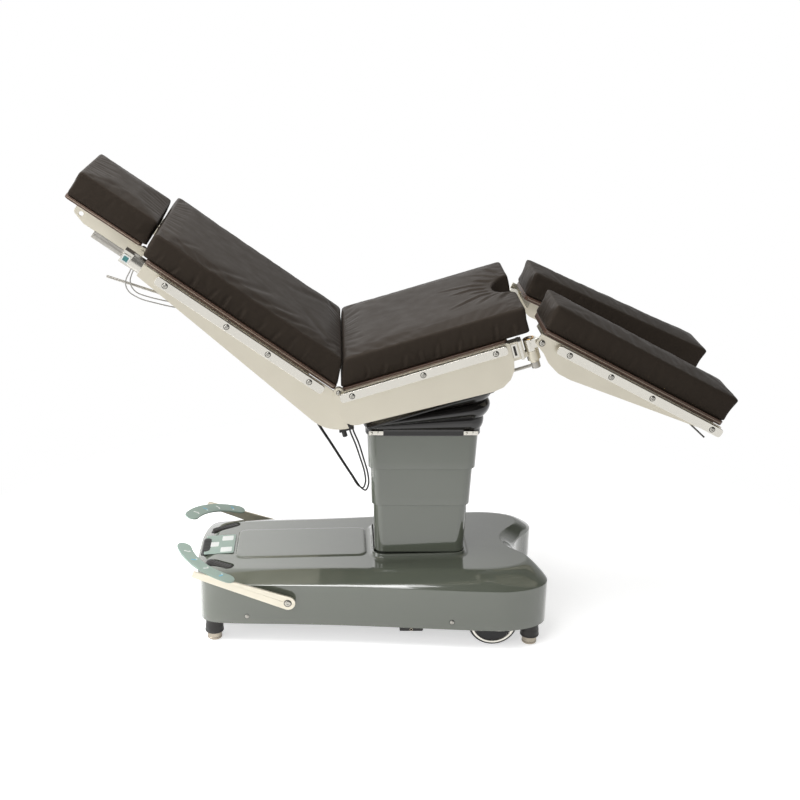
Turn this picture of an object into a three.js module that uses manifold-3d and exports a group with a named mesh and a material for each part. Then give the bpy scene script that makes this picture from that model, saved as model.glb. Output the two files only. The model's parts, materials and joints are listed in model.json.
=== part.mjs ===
// Operating table: moulded base, telescopic column and hinged head, back, seat and leg sections.
// Millimetres and degrees, +X toward the foot end, +Y toward the patient's left, +Z up.
import * as THREE from 'three';
import { mergeVertices } from 'three/addons/utils/BufferGeometryUtils.js';
import Module from 'manifold-3d';

const wasm = await Module();
wasm.setup();

const { PI, sin, cos, tan, sign, max } = Math;
const radians = THREE.MathUtils.degToRad;

// Fits and cutting
const seatGap = 0.3;
const runningGap = 0.4;
const overrun = 2;
const bite = 1;
const weldTolerance = 0.0001;

// Pose in the photograph
const seatAngle = 17.4;
const backAngle = 35.3;
const headAngle = 34.6;
const rightLegAngle = 27.8;
const leftLegAngle = 24.5;
const hipReach = 244.3;
const hipRise = 67.5;

// Base cover
const baseNoseX = -530;
const baseLength = 1050;
const baseHalfWidth = 264;
const baseWall = 5;
const baseBottomZ = 64;
const baseShoulderZ = 193;
const deckNoseZ = 213.5;
const deckRise = 26;
const baseOutlineShares = [
  [0, 0], [0.0005, 0.227], [0.004, 0.447], [0.02, 0.708], [0.038, 0.78], [0.083, 0.826],
  [0.219, 0.841], [0.39, 0.864], [0.526, 0.902], [0.667, 0.947], [0.8, 0.989], [0.878, 1],
  [0.921, 0.966], [0.952, 0.92], [0.98, 0.848], [0.997, 0.746], [1, 0.625], [0.989, 0.504],
  [0.96, 0.364], [0.941, 0.227], [0.931, 0.095], [0.93, 0],
];
const deckCrownLength = 58;
const deckCrownWidth = 76;
const deckCrownShares = [[0, 0], [0.065, 0.1], [0.26, 0.36], [0.55, 0.68], [1, 1]];
const panelNoseInset = 115;
const panelColumnGap = 6;
const panelHalfWidth = 97;
const panelCorner = 22;
const panelHeight = 4;
const panelDraft = 3;

// Chassis
const chassisZ = 122;
const chassisThickness = 10;
const guideLength = 160;
const guideWidth = 120;
const guideWall = 6;
const guideRise = 10;
const motorLength = 190;
const motorWidth = 120;
const motorHeight = 60;
const motorSetback = 332;
const socketWheelGap = 131;
const socketPlateSideInset = 38;
const socketPlateLength = 66;
const socketPlateThickness = 5;
const socketPlateBottomZ = 47;

// Levelling feet
const noseFootInset = 57;
const noseFootSideInset = 80;
const rearFootInset = 50;
const rearFootSideInset = 54;
const footTipRadius = 22;
const footTipHeight = 24;
const footTipEdge = 2.75;
const footBootTopRadius = 25;
const footBootBottomRadius = 28;
const footStemRadius = 14;
const footSides = 16;

// Castors
const carriageZ = 106;
const carriageThickness = 12;
const carriageSpineWidth = 60;
const carriageArmLength = 40;
const wheelClearance = 3.5;
const rearWheelInset = 164;
const rearWheelSideInset = 42;
const rearWheelRadius = 74;
const rearWheelWidth = 30;
const axleRadius = 7;
const hangerThickness = 8;
const hangerLength = 36;
const wheelCutMargin = 6;
const noseCastorInset = 180;
const noseCastorY = 85;
const noseWheelRadius = 46;
const noseWheelWidth = 24;
const castorTrail = 26;
const forkThickness = 4;
const forkHeadRadius = 22;
const forkHeadThickness = 5;
const castorStudRadius = 8;
const carriageGuideNoseInset = 20;
const carriageGuideRearInset = 71;
const carriageGuideRadius = 9;
const carriageGuideTopZ = 168;
const wheelEdgeShare = 0.2;
const wheelSides = 24;

// Base pedals
const pedalPivotInset = 280;
const pedalPivotZ = 146;
const pedalArmSideInset = 24;
const pedalArmAngle = 19;
const pedalArmLength = 292;
const pedalArmDepth = 44;
const pedalArmThickness = 6;
const pedalPinRadius = 8;
const pedalPinLength = 26;
const pedalPlateSetback = 150;
const pedalPlateSideInset = 180;
const pedalPlateRadius = 177;
const pedalPlateWidth = 44;
const pedalPlateStartAngle = 99;
const pedalPlateEndAngle = 164;
const pedalPlateAngle = 15.5;
const pedalPlateZ = 214;
const pedalPlateThickness = 5;
const nosePedalLength = 92;
const nosePedalWidth = 28;
const nosePedalHeight = 20;
const nosePedalTopZ = 216;
const nosePedalTravel = 8;
const nosePedalStemRadius = 6;
const nosePocketGap = 3;
const frontPedalInset = 24;
const sidePedalInset = 72;
const sidePedalY = 124;
const sidePedalTurn = 30;
const roundEndShare = 0.98;

// Column
const columnX = 142;
const coverWall = 3;
const lowerCoverBottomZ = 247.3;
const lowerCoverHeight = 214.7;
const lowerCoverBottomLength = 268;
const lowerCoverTaper = 14;
const midCoverOverlap = 57;
const midCoverHeight = 176;
const midCoverSlack = 2;
const midCoverTaper = 14;
const upperCoverOverlap = 55;
const upperCoverHeight = 164;
const upperCoverSlack = 3;
const upperCoverTaper = 12;
const coverDepthLoss = 46;
const coverCorner = 28;
const collarFlare = 16;
const collarFlareHeight = 9;
const collarFlareShares = [[0, 1], [0.35, 0.4], [1, 0]];
const ramGap = 0.7;
const ramEngagement = 127;
const ramHeadThickness = 3;
const ramHeadLength = 230;
const ramHeadWidth = 180;

// Tilt head
const lateralAxisRise = 18;
const tiltAxesGap = 37;
const pivotRadius = 9;
const yokeLength = 60;
const yokeWidth = 64;
const yokeDrop = 9;
const yokeRise = 12;
const rollLugThickness = 10;
const rollLugWidth = 40;
const rollLugRise = 13;
const pitchLugInner = 58;
const pitchLugThickness = 12;
const pitchLugWidth = 40;
const pitchLugDrop = 13;
const webStart = 150;
const webEnd = 330;
const webBottom = -131;

// Bellows
const bellowsWall = 3;
const bellowsDrop = 56;
const bellowsBandHeight = 20;
const bellowsTopStart = 48;
const bellowsTopEnd = 400;
const bellowsTopWidth = 330;
const bellowsCorner = 44;
const bellowsRidge = 20;
const bellowsValley = 3;
const bellowsFlangeThickness = 5;
const bellowsFlangeStart = 40;
const bellowsFlangeEnd = 409;
const bellowsFlangeHalfWidth = 244;
const bellowsSplitShare = 0.62;
const bellowsFoldShares = [[0, 0], [0.13, 0.25], [0.26, 0.05], [0.46, 0.9], [0.62, 0.15], [0.82, 1],
  [1, 0.2]];
const bellowsMouthInset = 12;

// Section pads, boards, plates and rails, shared by all sections
const padHalfWidth = 260;
const boardThickness = 13;
const boardOverhang = 2;
const boardSideGap = 4;
const boardCorner = 12;
const plateThickness = 6;
const plateRunningGap = 3;
const trayThickness = 3;
const railStandoff = 10;
const railThickness = 10;
const railDepth = 25;
const railEnd = 8;
const standoffRadius = 8;
const padCorner = 14;
const padCrown = 7;
const padProfileShares = [
  [0, 0.35], [0.05, 0.06], [0.3, 0.2], [0.55, 0.22], [0.86, 0.02], [0.95, 0.12], [0.995, 0.65],
];
const padCrownShares = [[0.3, 0.55], [0.62, 0.9], [0.86, 1]];
const padInset = 14;
const padCrownReach = 62;

// Seat section
const seatPlateStart = -18;
const seatPlateEnd = 479;
const seatPlateTop = -1;
const seatPlateHipDepth = 104;
const seatPlateKneeDepth = 127;
const seatHipCorner = 45;
const seatKneeCorner = 72;
const seatLugRadius = 14;
const hipPinRadius = 6;
const seatBoardTop = 5;
const seatBoardStart = 12;
const seatBoardEndInset = 5;
const seatPadStart = 19.5;
const seatPadOverhang = 61;
const seatPadHipThickness = 77;
const seatPadKneeThickness = 63;
const seatPadHipLean = 34;
const seatPadKneeLean = -8;
const cutoutRadius = 100;
const cutoutHalfWidth = 92;
const seatTrayStart = 48;
const seatBarStart = 116;
const seatBarLength = 13;
const seatBarHeight = 16;
const seatEndBarInset = 27;
const seatRailStart = 0;
const seatRailEndInset = 10;
const seatRailTop = -0.5;
const seatRailScrewShares = [0.072, 0.5, 0.93];
const cutoutBoardMargin = 14;

// Back section
const backPlateEnd = 624;
const backPlateTop = -6.5;
const backPlateHeadDepth = 43;
const backHipRadius = 111;
const backSectorAngle = 15;
const backBoardStart = 12;
const backBoardTop = 9;
const backPadStart = 24;
const backPadOverhang = 12;
const backPadThickness = 67;
const backPadHipLean = 34;
const backPadHeadLean = 2;
const backHipBarS = 95;
const backHeadBarInset = 24;
const backRailStart = 41;
const backRailEndInset = 46;
const backRailTop = -2.5;
const backRailScrewShares = [0.086, 0.337, 0.585, 0.946];
const backMidBarGap = 4;

// Head section
const neckReach = 21;
const neckHeight = -14;
const headPadHalfWidth = 158;
const headPadStart = 11;
const headPadEnd = 250;
const headPadThickness = 70;
const headPadBottom = 23;
const headPadNeckLean = -8;
const headBoardThickness = 10;
const headPlateY = 140;
const headPlateInset = 39;
const headPlateBottom = -24;
const headPlateNeck = 10;
const headPlateNeckCorner = 9;
const headPlateShoulder = 30;
const headPlateTipSlope = 40;
const headPlateTipCorner = 30;
const headPlateHoleInset = 21;
const headPlateHoleHeight = -4;
const headPlateHoleRadius = 7;
const headBarWidth = 20;
const headBarHeight = 9;
const headNeckBarS = 34;
const headTipBarInset = 43;
const neckPinRadius = 5;
const neckLugInner = 118;
const neckLugThickness = 12;
const neckLugRadius = 11;
const neckLugLength = 36;

// Head sockets at the end of the back section
const socketInset = 23;
const socketHeight = -20.5;
const socketRadius = 22;
const socketLength = 34;
const clampBlockLength = 27;
const clampBlockHeight = 37;
const clampBlockWidth = 34;
const gripRadius = 10;
const gripLength = 92;
const gripStubRadius = 6;
const gripStubDepth = 12;

// Cable clips inside the back section's right plate
const cableClipS = [142, 413];
const cableClipLength = 14;
const cableClipWidth = 41;
const cableClipTop = -33;
const cableClipBottom = -52;

// Back release lever
const leverPivotInset = 176;
const leverPivotHeight = -34;
const leverInset = 49;
const leverRodStart = 6;
const leverRodDrop = 2;
const leverRadius = 3.6;
const leverLength = 250;
const leverAngle = 16.5;
const leverEyeRadius = 9;
const leverPinRadius = 4;

// Leg sections
const kneePivotReach = 28;
const kneePivotHeight = -27;
const legInnerY = 83;
const legPadStart = -9;
const legPadOverhang = 9;
const legPadThickness = 73;
const legPadKneeLean = -3;
const legPadFootLean = -14;
const legPadFootCorner = 26;
const legBoardTop = 35;
const legBoardStart = -4;
const legBoardOverhang = 3;
const legPlateTop = 21.7;
const legPlateStart = -13;
const legPlateEnd = 563;
const legPlateDepth = 76;
const legPlateCorner = 12;
const legPlateShares = [[0, 0, 0], [0, 0.41, 0.6], [0.057, 0.59, 2], [0.1, 0.82, 2.4], [0.168, 1, 4],
  [0.238, 1, 3.4], [0.96, 0.34, 1.3], [1, 0.21, 0.8], [1, 0, 0]];
const legInnerBarInset = 7;
const legInnerBarHeight = 22;
const legKneeBarS = 17;
const legFootBarInset = 35;
const legEndBarWidth = 12;
const legRailStart = 42;
const legRailOverhang = 3;
const legRailTop = 21;
const legRailScrewShares = [0.07, 0.32, 0.57, 0.94];
const legStopRadius = 3;
const legStopLength = 62;
const legStopInset = 93;
const legStopSideInset = 22;
const legStopAngle = 12;

// Knee joint
const kneeBarrelReach = 21;
const kneeInset = 32;
const kneeBarrelRadius = 18;
const kneeBarrelTop = -14;
const kneeBarrelBottom = -47;
const knuckleDepth = 28;
const kneePinRadius = 8;
const kneeLugRadius = 12;
const kneeLugOffset = 6;
const kneeLugThickness = 14;
const kneePivotRadius = 6;
const kneePivotHead = 9;
const kneeBlockLength = 34;
const kneeBlockOffset = 16;
const kneeBlockWidth = 34;
const kneeBlockHeight = 60;
const kneeLinkWidth = 20;
const kneeNutRadius = 14;
const kneeNutHeight = 7;
const kneeHubRadius = 12;
const kneeHubHeight = 18;
const kneeLeverLength = 128;
const kneeLeverRadius = 4.5;

// Cable bracket under the seat
const cableBracketInset = 40;
const cableBracketWidth = 34;
const cableBracketLength = 42;
const cableBracketS = -14;
const cableBracketBottom = -122;
const cableBracketThickness = 5;
const cableBracketStrapLength = 32;
const cableGlandRadius = 7;
const cableGlandLength = 20;

// Cords: radius and the points of each free run, as [x, y, z] in the table's frame at rest
const blackCableRadius = 2.4;
const blackCableRoutes = {
  black_cable_1: [[-241, -232, 861.8], [-228.8, -232, 853.1], [-196, -232, 784], [-156, -232, 706],
    [-120, -233, 647], [-87, -234, 592], [-60, -234, 548], [-38, -234, 514], [-25, -234, 506],
      [-17, -234, 524],
    [-19, -234, 556], [-32, -233, 604], [-46, -232, 650], [-59.6, -232, 683], [-63.8, -232, 696.3]],
  black_cable_2: [[-241, -241, 861.8], [-228.8, -241, 853.1], [-200, -240, 790], [-160, -239, 710],
    [-124, -239, 651], [-91, -240, 596], [-66, -241, 556], [-46, -242, 524], [-33, -242, 517],
      [-26, -242, 534],
    [-29, -242, 566], [-42, -241, 610], [-55, -241, 650], [-67.2, -241, 680.5], [-71.4, -241, 693.9]],
};
const greyCableRadius = 1.7;
const greyCableRoutes = {
  grey_cable_1: [[-653.6, -243, 1150], [-660, -243, 1138], [-668, -243, 1122], [-669, -243, 1104],
    [-661, -243, 1088], [-633, -243, 1070], [-590, -243, 1057], [-548, -243, 1047], [-512, -243, 1041],
    [-489.3, -243, 1031.4], [-477, -243, 1022.7]],
  grey_cable_2: [[-647.9, -236, 1146], [-653, -236, 1135], [-658, -236, 1118], [-655, -236, 1100],
    [-642, -236, 1085], [-612, -236, 1073], [-560, -236, 1060], [-516, -236, 1050], [-489.3, -236, 1031.4],
    [-477, -236, 1022.7]],
};
const cordSides = 8;
const cordStep = 3;

// Facets
const roundSides = 20;
const smallSides = 12;
const cornerSteps = 4;
const padCornerSteps = 3;
const coverCornerSteps = 4;
const outlineSteps = 2;

// Places that follow from the sizes above
const baseEndX = baseNoseX + baseLength;
const noseFootX = baseNoseX + noseFootInset;
const noseFootY = baseHalfWidth - noseFootSideInset;
const rearFootX = baseEndX - rearFootInset;
const rearFootY = baseHalfWidth - rearFootSideInset;
const rearWheelX = baseEndX - rearWheelInset;
const rearWheelY = baseHalfWidth - rearWheelSideInset;
const noseCastorX = baseNoseX + noseCastorInset;
const carriageGuideX = [noseCastorX + carriageGuideNoseInset, rearWheelX - carriageGuideRearInset];
const pedalPivotX = baseNoseX + pedalPivotInset;
const pedalArmY = baseHalfWidth - pedalArmSideInset;
const pedalPlateX = pedalPivotX - pedalPlateSetback;
const pedalPlateY = pedalArmY - pedalPlateSideInset;
const frontPedalX = baseNoseX + frontPedalInset;
const sidePedalX = baseNoseX + sidePedalInset;
const panelStartX = baseNoseX + panelNoseInset;
const panelEndX = columnX - lowerCoverBottomLength / 2 - collarFlare - panelColumnGap;
const motorX = columnX - motorSetback;
const socketPlateX = rearWheelX - rearWheelRadius - socketWheelGap - socketPlateLength / 2;
const socketPlateY = baseHalfWidth - socketPlateSideInset;
const lowerCoverTopZ = lowerCoverBottomZ + lowerCoverHeight;
const lowerCoverTopLength = lowerCoverBottomLength + lowerCoverTaper;
const midCoverBottomZ = lowerCoverTopZ - midCoverOverlap;
const midCoverTopZ = midCoverBottomZ + midCoverHeight;
const midCoverBottomLength = lowerCoverTopLength + 2 * coverWall + midCoverSlack;
const midCoverTopLength = midCoverBottomLength + midCoverTaper;
const upperCoverBottomZ = midCoverTopZ - upperCoverOverlap;
const upperCoverTopZ = upperCoverBottomZ + upperCoverHeight;
const upperCoverBottomLength = midCoverTopLength + 2 * coverWall + upperCoverSlack;
const upperCoverTopLength = upperCoverBottomLength + upperCoverTaper;
const guideTopZ = lowerCoverTopZ + guideRise;
const ramBottomZ = guideTopZ - ramEngagement;
const lateralAxisZ = upperCoverTopZ + lateralAxisRise;
const trendAxisZ = lateralAxisZ + tiltAxesGap;
const yokeBottomZ = lateralAxisZ - yokeDrop;
const yokeTopZ = trendAxisZ + yokeRise;
const bellowsBottomZ = upperCoverTopZ - bellowsDrop;
const hipX = columnX - hipReach;
const hipZ = trendAxisZ + hipRise;
const boardHalfWidth = padHalfWidth + boardOverhang;
const seatPlateInnerY = boardHalfWidth + boardSideGap;
const seatPlateOuterY = seatPlateInnerY + plateThickness;
const backPlateOuterY = seatPlateInnerY - plateRunningGap;
const backPlateInnerY = backPlateOuterY - plateThickness;
const railInnerY = seatPlateOuterY + railStandoff;
const seatBoardEnd = seatPlateEnd - seatBoardEndInset;
const seatEndBarS = seatPlateEnd - seatEndBarInset;
const seatRailEnd = seatPlateEnd - seatRailEndInset;
const seatPadEnd = seatPlateEnd + seatPadOverhang;
const backPadEnd = backPlateEnd + backPadOverhang;
const backHeadBarS = backPlateEnd - backHeadBarInset;
const backRailEnd = backPlateEnd - backRailEndInset;
const neckS = backPlateEnd + neckReach;
const socketY = backPlateOuterY - socketInset;
const leverPivotS = backPlateEnd - leverPivotInset;
const leverY = backPlateOuterY - leverInset;
const backMidBarS = leverPivotS + backMidBarGap;
const cableClipInner = backPlateOuterY - cableClipWidth;
const headPlateEnd = headPadEnd - headPlateInset;
const headPlateHoleS = headPlateEnd - headPlateHoleInset;
const headBarS = [headNeckBarS, headPlateEnd - headTipBarInset];
const kneeBlockStart = seatPlateEnd;
const kneeBlockEnd = kneeBlockStart + kneeBlockLength;
const kneeBarrelS = kneeBlockEnd + kneeBarrelReach;
const kneeS = kneeBarrelS + kneePivotReach;
const kneeY = seatPlateOuterY - kneeInset;
const kneeLugInner = kneeY + kneeLugOffset;
const kneeBlockInner = kneeY - kneeBlockOffset;
const legInnerBarY = legInnerY + legInnerBarInset;
const legPadEnd = legPlateEnd + legPadOverhang;
const legBoardEnd = legPlateEnd + legBoardOverhang;
const legRailEnd = legPlateEnd + legRailOverhang;
const legEndBarS = [legKneeBarS, legPlateEnd - legFootBarInset];
const legStopS = legPlateEnd - legStopInset;
const legStopY = seatPlateOuterY - legStopSideInset;
const cableBracketY = seatPlateOuterY - cableBracketInset;

const paint = new THREE.MeshStandardMaterial({ color: 0x6f776e, roughness: 0.25, metalness: 0 });
const steel = new THREE.MeshStandardMaterial({ color: 0xd6d0c2, roughness: 0.4, metalness: 0.9 });
const railSteel = new THREE.MeshStandardMaterial({ color: 0xcac6bb, roughness: 0.3, metalness: 1 });
const darkSteel = new THREE.MeshStandardMaterial({ color: 0x55554f, roughness: 0.5, metalness: 0.8 });
const board = new THREE.MeshStandardMaterial({ color: 0x5a3c2d, roughness: 0.6, metalness: 0 });
const padCloth = new THREE.MeshStandardMaterial({ color: 0x2f2c2a, roughness: 0.6, metalness: 0 });
const rubber = new THREE.MeshStandardMaterial({ color: 0x221e1c, roughness: 0.7, metalness: 0 });
const tyre = new THREE.MeshStandardMaterial({ color: 0x1c1c1c, roughness: 0.8, metalness: 0 });
const blackPlastic = new THREE.MeshStandardMaterial({ color: 0x1b1b1b, roughness: 0.6, metalness: 0 });
const greyPlastic = new THREE.MeshStandardMaterial({ color: 0x8f8f89, roughness: 0.6, metalness: 0 });

// Solids and surfaces
function welded(geometry) {
  const plain = geometry.clone();
  plain.deleteAttribute('normal');
  plain.deleteAttribute('uv');
  return mergeVertices(plain, weldTolerance);
}

function toSolid(geometry) {
  const { attributes, index } = welded(geometry);
  return new wasm.Manifold(new wasm.Mesh({
    numProp: 3,
    vertProperties: new Float32Array(attributes.position.array),
    triVerts: new Uint32Array(index.array),
  }));
}

function toGeometry(solid) {
  const mesh = solid.getMesh();
  const geometry = new THREE.BufferGeometry();
  geometry.setAttribute('position', new THREE.BufferAttribute(mesh.vertProperties, mesh.numProp));
  geometry.setIndex(new THREE.BufferAttribute(mesh.triVerts, 1));
  const faceted = geometry.toNonIndexed();
  faceted.computeVertexNormals();
  return faceted;
}

const joined = (...geometries) => toGeometry(geometries.map(toSolid).reduce((all, next) => all.add(next)));
const cut = (geometry, ...tools) => toGeometry(
  tools.map(toSolid).reduce((rest, tool) => rest.subtract(tool), toSolid(geometry)),
);

// A box between two corners
function block([x0, y0, z0], [x1, y1, z1]) {
  const box = new THREE.BoxGeometry(x1 - x0, y1 - y0, z1 - z0);
  return box.translate((x0 + x1) / 2, (y0 + y1) / 2, (z0 + z1) / 2);
}

// A round bar between two points
function bar(from, to, radius, sides = roundSides, endRadius = radius) {
  const start = new THREE.Vector3(...from);
  const along = new THREE.Vector3(...to).sub(start);
  const cylinder = new THREE.CylinderGeometry(endRadius, radius, along.length(), sides);
  const turn = new THREE.Quaternion().setFromUnitVectors(new THREE.Vector3(0, 1, 0),
    along.clone().normalize());
  cylinder.applyQuaternion(turn);
  return cylinder.translate(...start.addScaledVector(along, 1 / 2).toArray());
}

// A closed outline whose corners [x, y, radius] are rounded
function roundedOutline(corners, steps = cornerSteps) {
  const outline = [];
  corners.forEach(([x, y, radius], i) => {
    const here = new THREE.Vector2(x, y);
    const [lastX, lastY] = corners.at(i - 1);
    const [nextX, nextY] = corners[(i + 1) % corners.length];
    const back = new THREE.Vector2(lastX, lastY).sub(here).normalize();
    const ahead = new THREE.Vector2(nextX, nextY).sub(here).normalize();
    if (!radius) {
      outline.push(here);
      return;
    }
    const half = Math.acos(back.dot(ahead)) / 2;
    const reach = radius / tan(half);
    const toCentre = back.clone().add(ahead).normalize().multiplyScalar(radius / sin(half));
    const centre = here.clone().add(toCentre);
    const start = here.clone().addScaledVector(back, reach).sub(centre);
    const end = here.clone().addScaledVector(ahead, reach).sub(centre);
    const turn = Math.atan2(start.cross(end), start.dot(end));
    for (let k = 0; k <= steps; k += 1) {
      outline.push(start.clone().rotateAround(new THREE.Vector2(), turn * k / steps).add(centre));
    }
  });
  return outline;
}

function rectangle(x0, x1, y0, y1, radius, steps = cornerSteps) {
  return roundedOutline([[x0, y0, radius], [x1, y0, radius], [x1, y1, radius], [x0, y1, radius]], steps);
}

// An outline in X and Y raised from z0 to z1
function slab(outline, z0, z1) {
  const geometry = new THREE.ExtrudeGeometry(new THREE.Shape(outline),
    { depth: z1 - z0, bevelEnabled: false });
  return geometry.translate(0, 0, z0);
}

// An outline in X and Z with its thickness along Y
function upright(outline, y0, y1) {
  const flat = slab(outline, -y1, -y0);
  return flat.rotateX(PI / 2);
}

// Rings of equally many points, skinned in order and closed at both ends
function loft(given) {
  const rings = THREE.ShapeUtils.isClockWise(given[0]) ? given.map((ring) => ring.slice().reverse()) : given;
  const count = rings[0].length;
  const points = rings.flat();
  const faces = [];
  for (let r = 0; r + 1 < rings.length; r += 1) {
    for (let i = 0; i < count; i += 1) {
      const [a, b] = [r * count + i, r * count + (i + 1) % count];
      faces.push(a, b, b + count, a, b + count, a + count);
    }
  }
  const lid = THREE.ShapeUtils.triangulateShape(rings[0].map((p) => new THREE.Vector2(p.x, p.y)), []);
  const last = (rings.length - 1) * count;
  lid.forEach(([a, b, c]) => faces.push(c, b, a));
  const top = THREE.ShapeUtils.triangulateShape(rings.at(-1).map((p) => new THREE.Vector2(p.x, p.y)), []);
  top.forEach(([a, b, c]) => faces.push(last + a, last + b, last + c));
  const geometry = new THREE.BufferGeometry().setFromPoints(points);
  geometry.setIndex(faces);
  return outward(geometry);
}

// Turns a closed surface inside out if its faces point in
function outward(geometry) {
  const { position } = geometry.attributes;
  const [a, b, c] = [new THREE.Vector3(), new THREE.Vector3(), new THREE.Vector3()];
  let volume = 0;
  for (let i = 0; i < geometry.index.count; i += 3) {
    [a, b, c].forEach((corner, k) => corner.fromBufferAttribute(position, geometry.index.getX(i + k)));
    volume += a.dot(b.cross(c));
  }
  if (volume < 0) geometry.index.array.reverse();
  const faceted = geometry.toNonIndexed();
  faceted.computeVertexNormals();
  return faceted;
}

// Moves a closed outline inward along its normals
function inset(outline, distance) {
  const turning = sign(THREE.ShapeUtils.area(outline));
  return outline.map((point, i) => {
    const along = outline[(i + 1) % outline.length].clone().sub(outline.at(i - 1)).normalize();
    return new THREE.Vector2(point.x - along.y * distance * turning, point.y + along.x * distance * turning);
  });
}

// Draws an outline in toward the middle of its bounding box
function shrunk(points, lengthLoss, widthLoss = lengthLoss) {
  const box = new THREE.Box2().setFromPoints(points);
  const centre = box.getCenter(new THREE.Vector2());
  const half = box.getSize(new THREE.Vector2()).divideScalar(2);
  const scale = new THREE.Vector2(1 - lengthLoss / half.x, 1 - widthLoss / half.y);
  return points.map((p) => p.clone().sub(centre).multiply(scale).add(centre));
}

const atHeight = (outline, z) => outline.map(
  (p) => new THREE.Vector3(p.x, p.y, typeof z === 'function' ? z(p) : z),
);

// A wheel or foot turned about its axis from [radius, height] points
const turned = (profile, sides) => new THREE.LatheGeometry(profile.map(([r, z]) => new THREE.Vector2(r, z)),
  sides)
  .rotateX(PI / 2);

// Scene graph
const table = new THREE.Group();
const tableFrame = new THREE.Group();
table.add(tableFrame);

function piece(parent, name, material, geometry, side = 1) {
  const plain = geometry.index ? geometry.toNonIndexed() : geometry;
  const mesh = new THREE.Mesh(side < 0 ? mirrored(plain) : plain, material);
  mesh.name = name;
  parent.add(mesh);
  return mesh;
}

// The same piece on the other side of the table's middle plane
function mirrored(geometry) {
  const copy = geometry.clone();
  const { array } = copy.attributes.position;
  for (let i = 0; i < array.length; i += 9) {
    for (let k = 0; k < 3; k += 1) {
      array[i + 3 * k + 1] *= -1;
    }
    for (let k = 0; k < 3; k += 1) {
      [array[i + 3 + k], array[i + 6 + k]] = [array[i + 6 + k], array[i + 3 + k]];
    }
  }
  copy.computeVertexNormals();
  return copy;
}

const sides = { right: -1, left: 1 };

// Both sides' pieces of one builder, and two places in rising order
function pair(build) {
  return [-1, 1].flatMap((side) => build(side));
}

const between = (a, b) => [a, b].sort((one, two) => one - two);

// A group at a hinge, turned to the section's pose
function section(parent, x, z, angle) {
  const group = new THREE.Group();
  group.position.set(x, 0, z);
  group.rotation.y = radians(angle);
  parent.add(group);
  return group;
}

// Base cover, chassis and column collar
const deckZ = (x) => deckNoseZ + deckRise * (x - baseNoseX) / baseLength;

function baseOutline() {
  const half = baseOutlineShares.map(([x, y]) => [baseNoseX + x * baseLength, y * baseHalfWidth]);
  const mirror = half.slice(1, -1).reverse().map(([x, y]) => [x, -y]);
  const points = [...half, ...mirror].map(([x, y]) => new THREE.Vector3(x, y, 0));
  const curve = new THREE.CatmullRomCurve3(points, true, 'centripetal');
  const sampled = curve.getPoints(points.length * outlineSteps).slice(0, -1);
  return sampled.map((p) => new THREE.Vector2(p.x, p.y));
}

const outline = baseOutline();

function crownedRings(wall) {
  const edge = inset(outline, wall);
  const shares = wall ? [deckCrownShares[0], deckCrownShares.at(-1)] : deckCrownShares;
  const rings = shares.map(([insetShare, heightShare]) => {
    const ring = shrunk(edge, insetShare * deckCrownLength, insetShare * deckCrownWidth);
    return atHeight(ring, (p) => baseShoulderZ - wall + (deckZ(p.x) - baseShoulderZ) * heightShare);
  });
  return [atHeight(edge, wall ? baseBottomZ - overrun : baseBottomZ), ...rings];
}

function columnRing(length, z, corner = coverCorner) {
  const [halfLength, halfDepth] = [length / 2, (length - coverDepthLoss) / 2];
  const ring = rectangle(columnX - halfLength, columnX + halfLength, -halfDepth, halfDepth, corner,
    coverCornerSteps);
  return atHeight(ring, z);
}

const collarTopZ = lowerCoverBottomZ - seatGap;

function collar() {
  const rings = collarFlareShares.map(([heightShare, flareShare]) => columnRing(
    lowerCoverBottomLength + 2 * collarFlare * flareShare,
    (p) => deckZ(p.x) + collarFlareHeight * heightShare,
    coverCorner + collarFlare * flareShare,
  ));
  const sunk = columnRing(lowerCoverBottomLength + 2 * collarFlare, (p) => deckZ(p.x) - bite,
    coverCorner + collarFlare);
  return loft([sunk, ...rings, columnRing(lowerCoverBottomLength, collarTopZ)]);
}

function raisedPanel() {
  const edge = rectangle(panelStartX, panelEndX, -panelHalfWidth, panelHalfWidth, panelCorner);
  return loft([
    atHeight(edge, (p) => deckZ(p.x) - bite),
    atHeight(edge, (p) => deckZ(p.x)),
    atHeight(inset(edge, panelDraft), (p) => deckZ(p.x) + panelHeight),
  ]);
}

const nosePedals = [
  { name: 'nose_pedal_front', x: frontPedalX, y: 0, turn: 90 },
  { name: 'nose_pedal_right', x: sidePedalX, y: -sidePedalY, turn: -sidePedalTurn },
  { name: 'nose_pedal_left', x: sidePedalX, y: sidePedalY, turn: sidePedalTurn },
];

function pedalOutline({ x, y, turn }, margin) {
  const [halfLength, halfWidth] = [nosePedalLength / 2 + margin, nosePedalWidth / 2 + margin];
  const shape = rectangle(-halfLength, halfLength, -halfWidth, halfWidth, halfWidth * roundEndShare);
  return shape.map((p) => p.rotateAround(new THREE.Vector2(), radians(turn)).add(new THREE.Vector2(x, y)));
}

const nosePocketBottomZ = nosePedalTopZ - nosePedalHeight - nosePedalTravel - nosePocketGap;

function baseCover() {
  const outside = loft(crownedRings(0));
  const inside = loft(crownedRings(baseWall));
  const shell = cut(joined(outside, raisedPanel(), collar()), inside);
  const wallSpace = coverWall + nosePocketGap;
  const well = columnRing(lowerCoverBottomLength - 2 * wallSpace, 0).map((p) => new THREE.Vector2(p.x, p.y));
  const pockets = nosePedals.map((pedal) => slab(pedalOutline(pedal, nosePocketGap), nosePocketBottomZ,
    nosePedalTopZ + nosePedalHeight));
  const pinHole = bar([pedalPivotX, -baseHalfWidth, pedalPivotZ], [pedalPivotX, baseHalfWidth, pedalPivotZ],
    pedalPinRadius + seatGap, smallSides);
  return cut(shell, slab(well, chassisZ, collarTopZ + overrun), ...pockets, pinHole);
}

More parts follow.
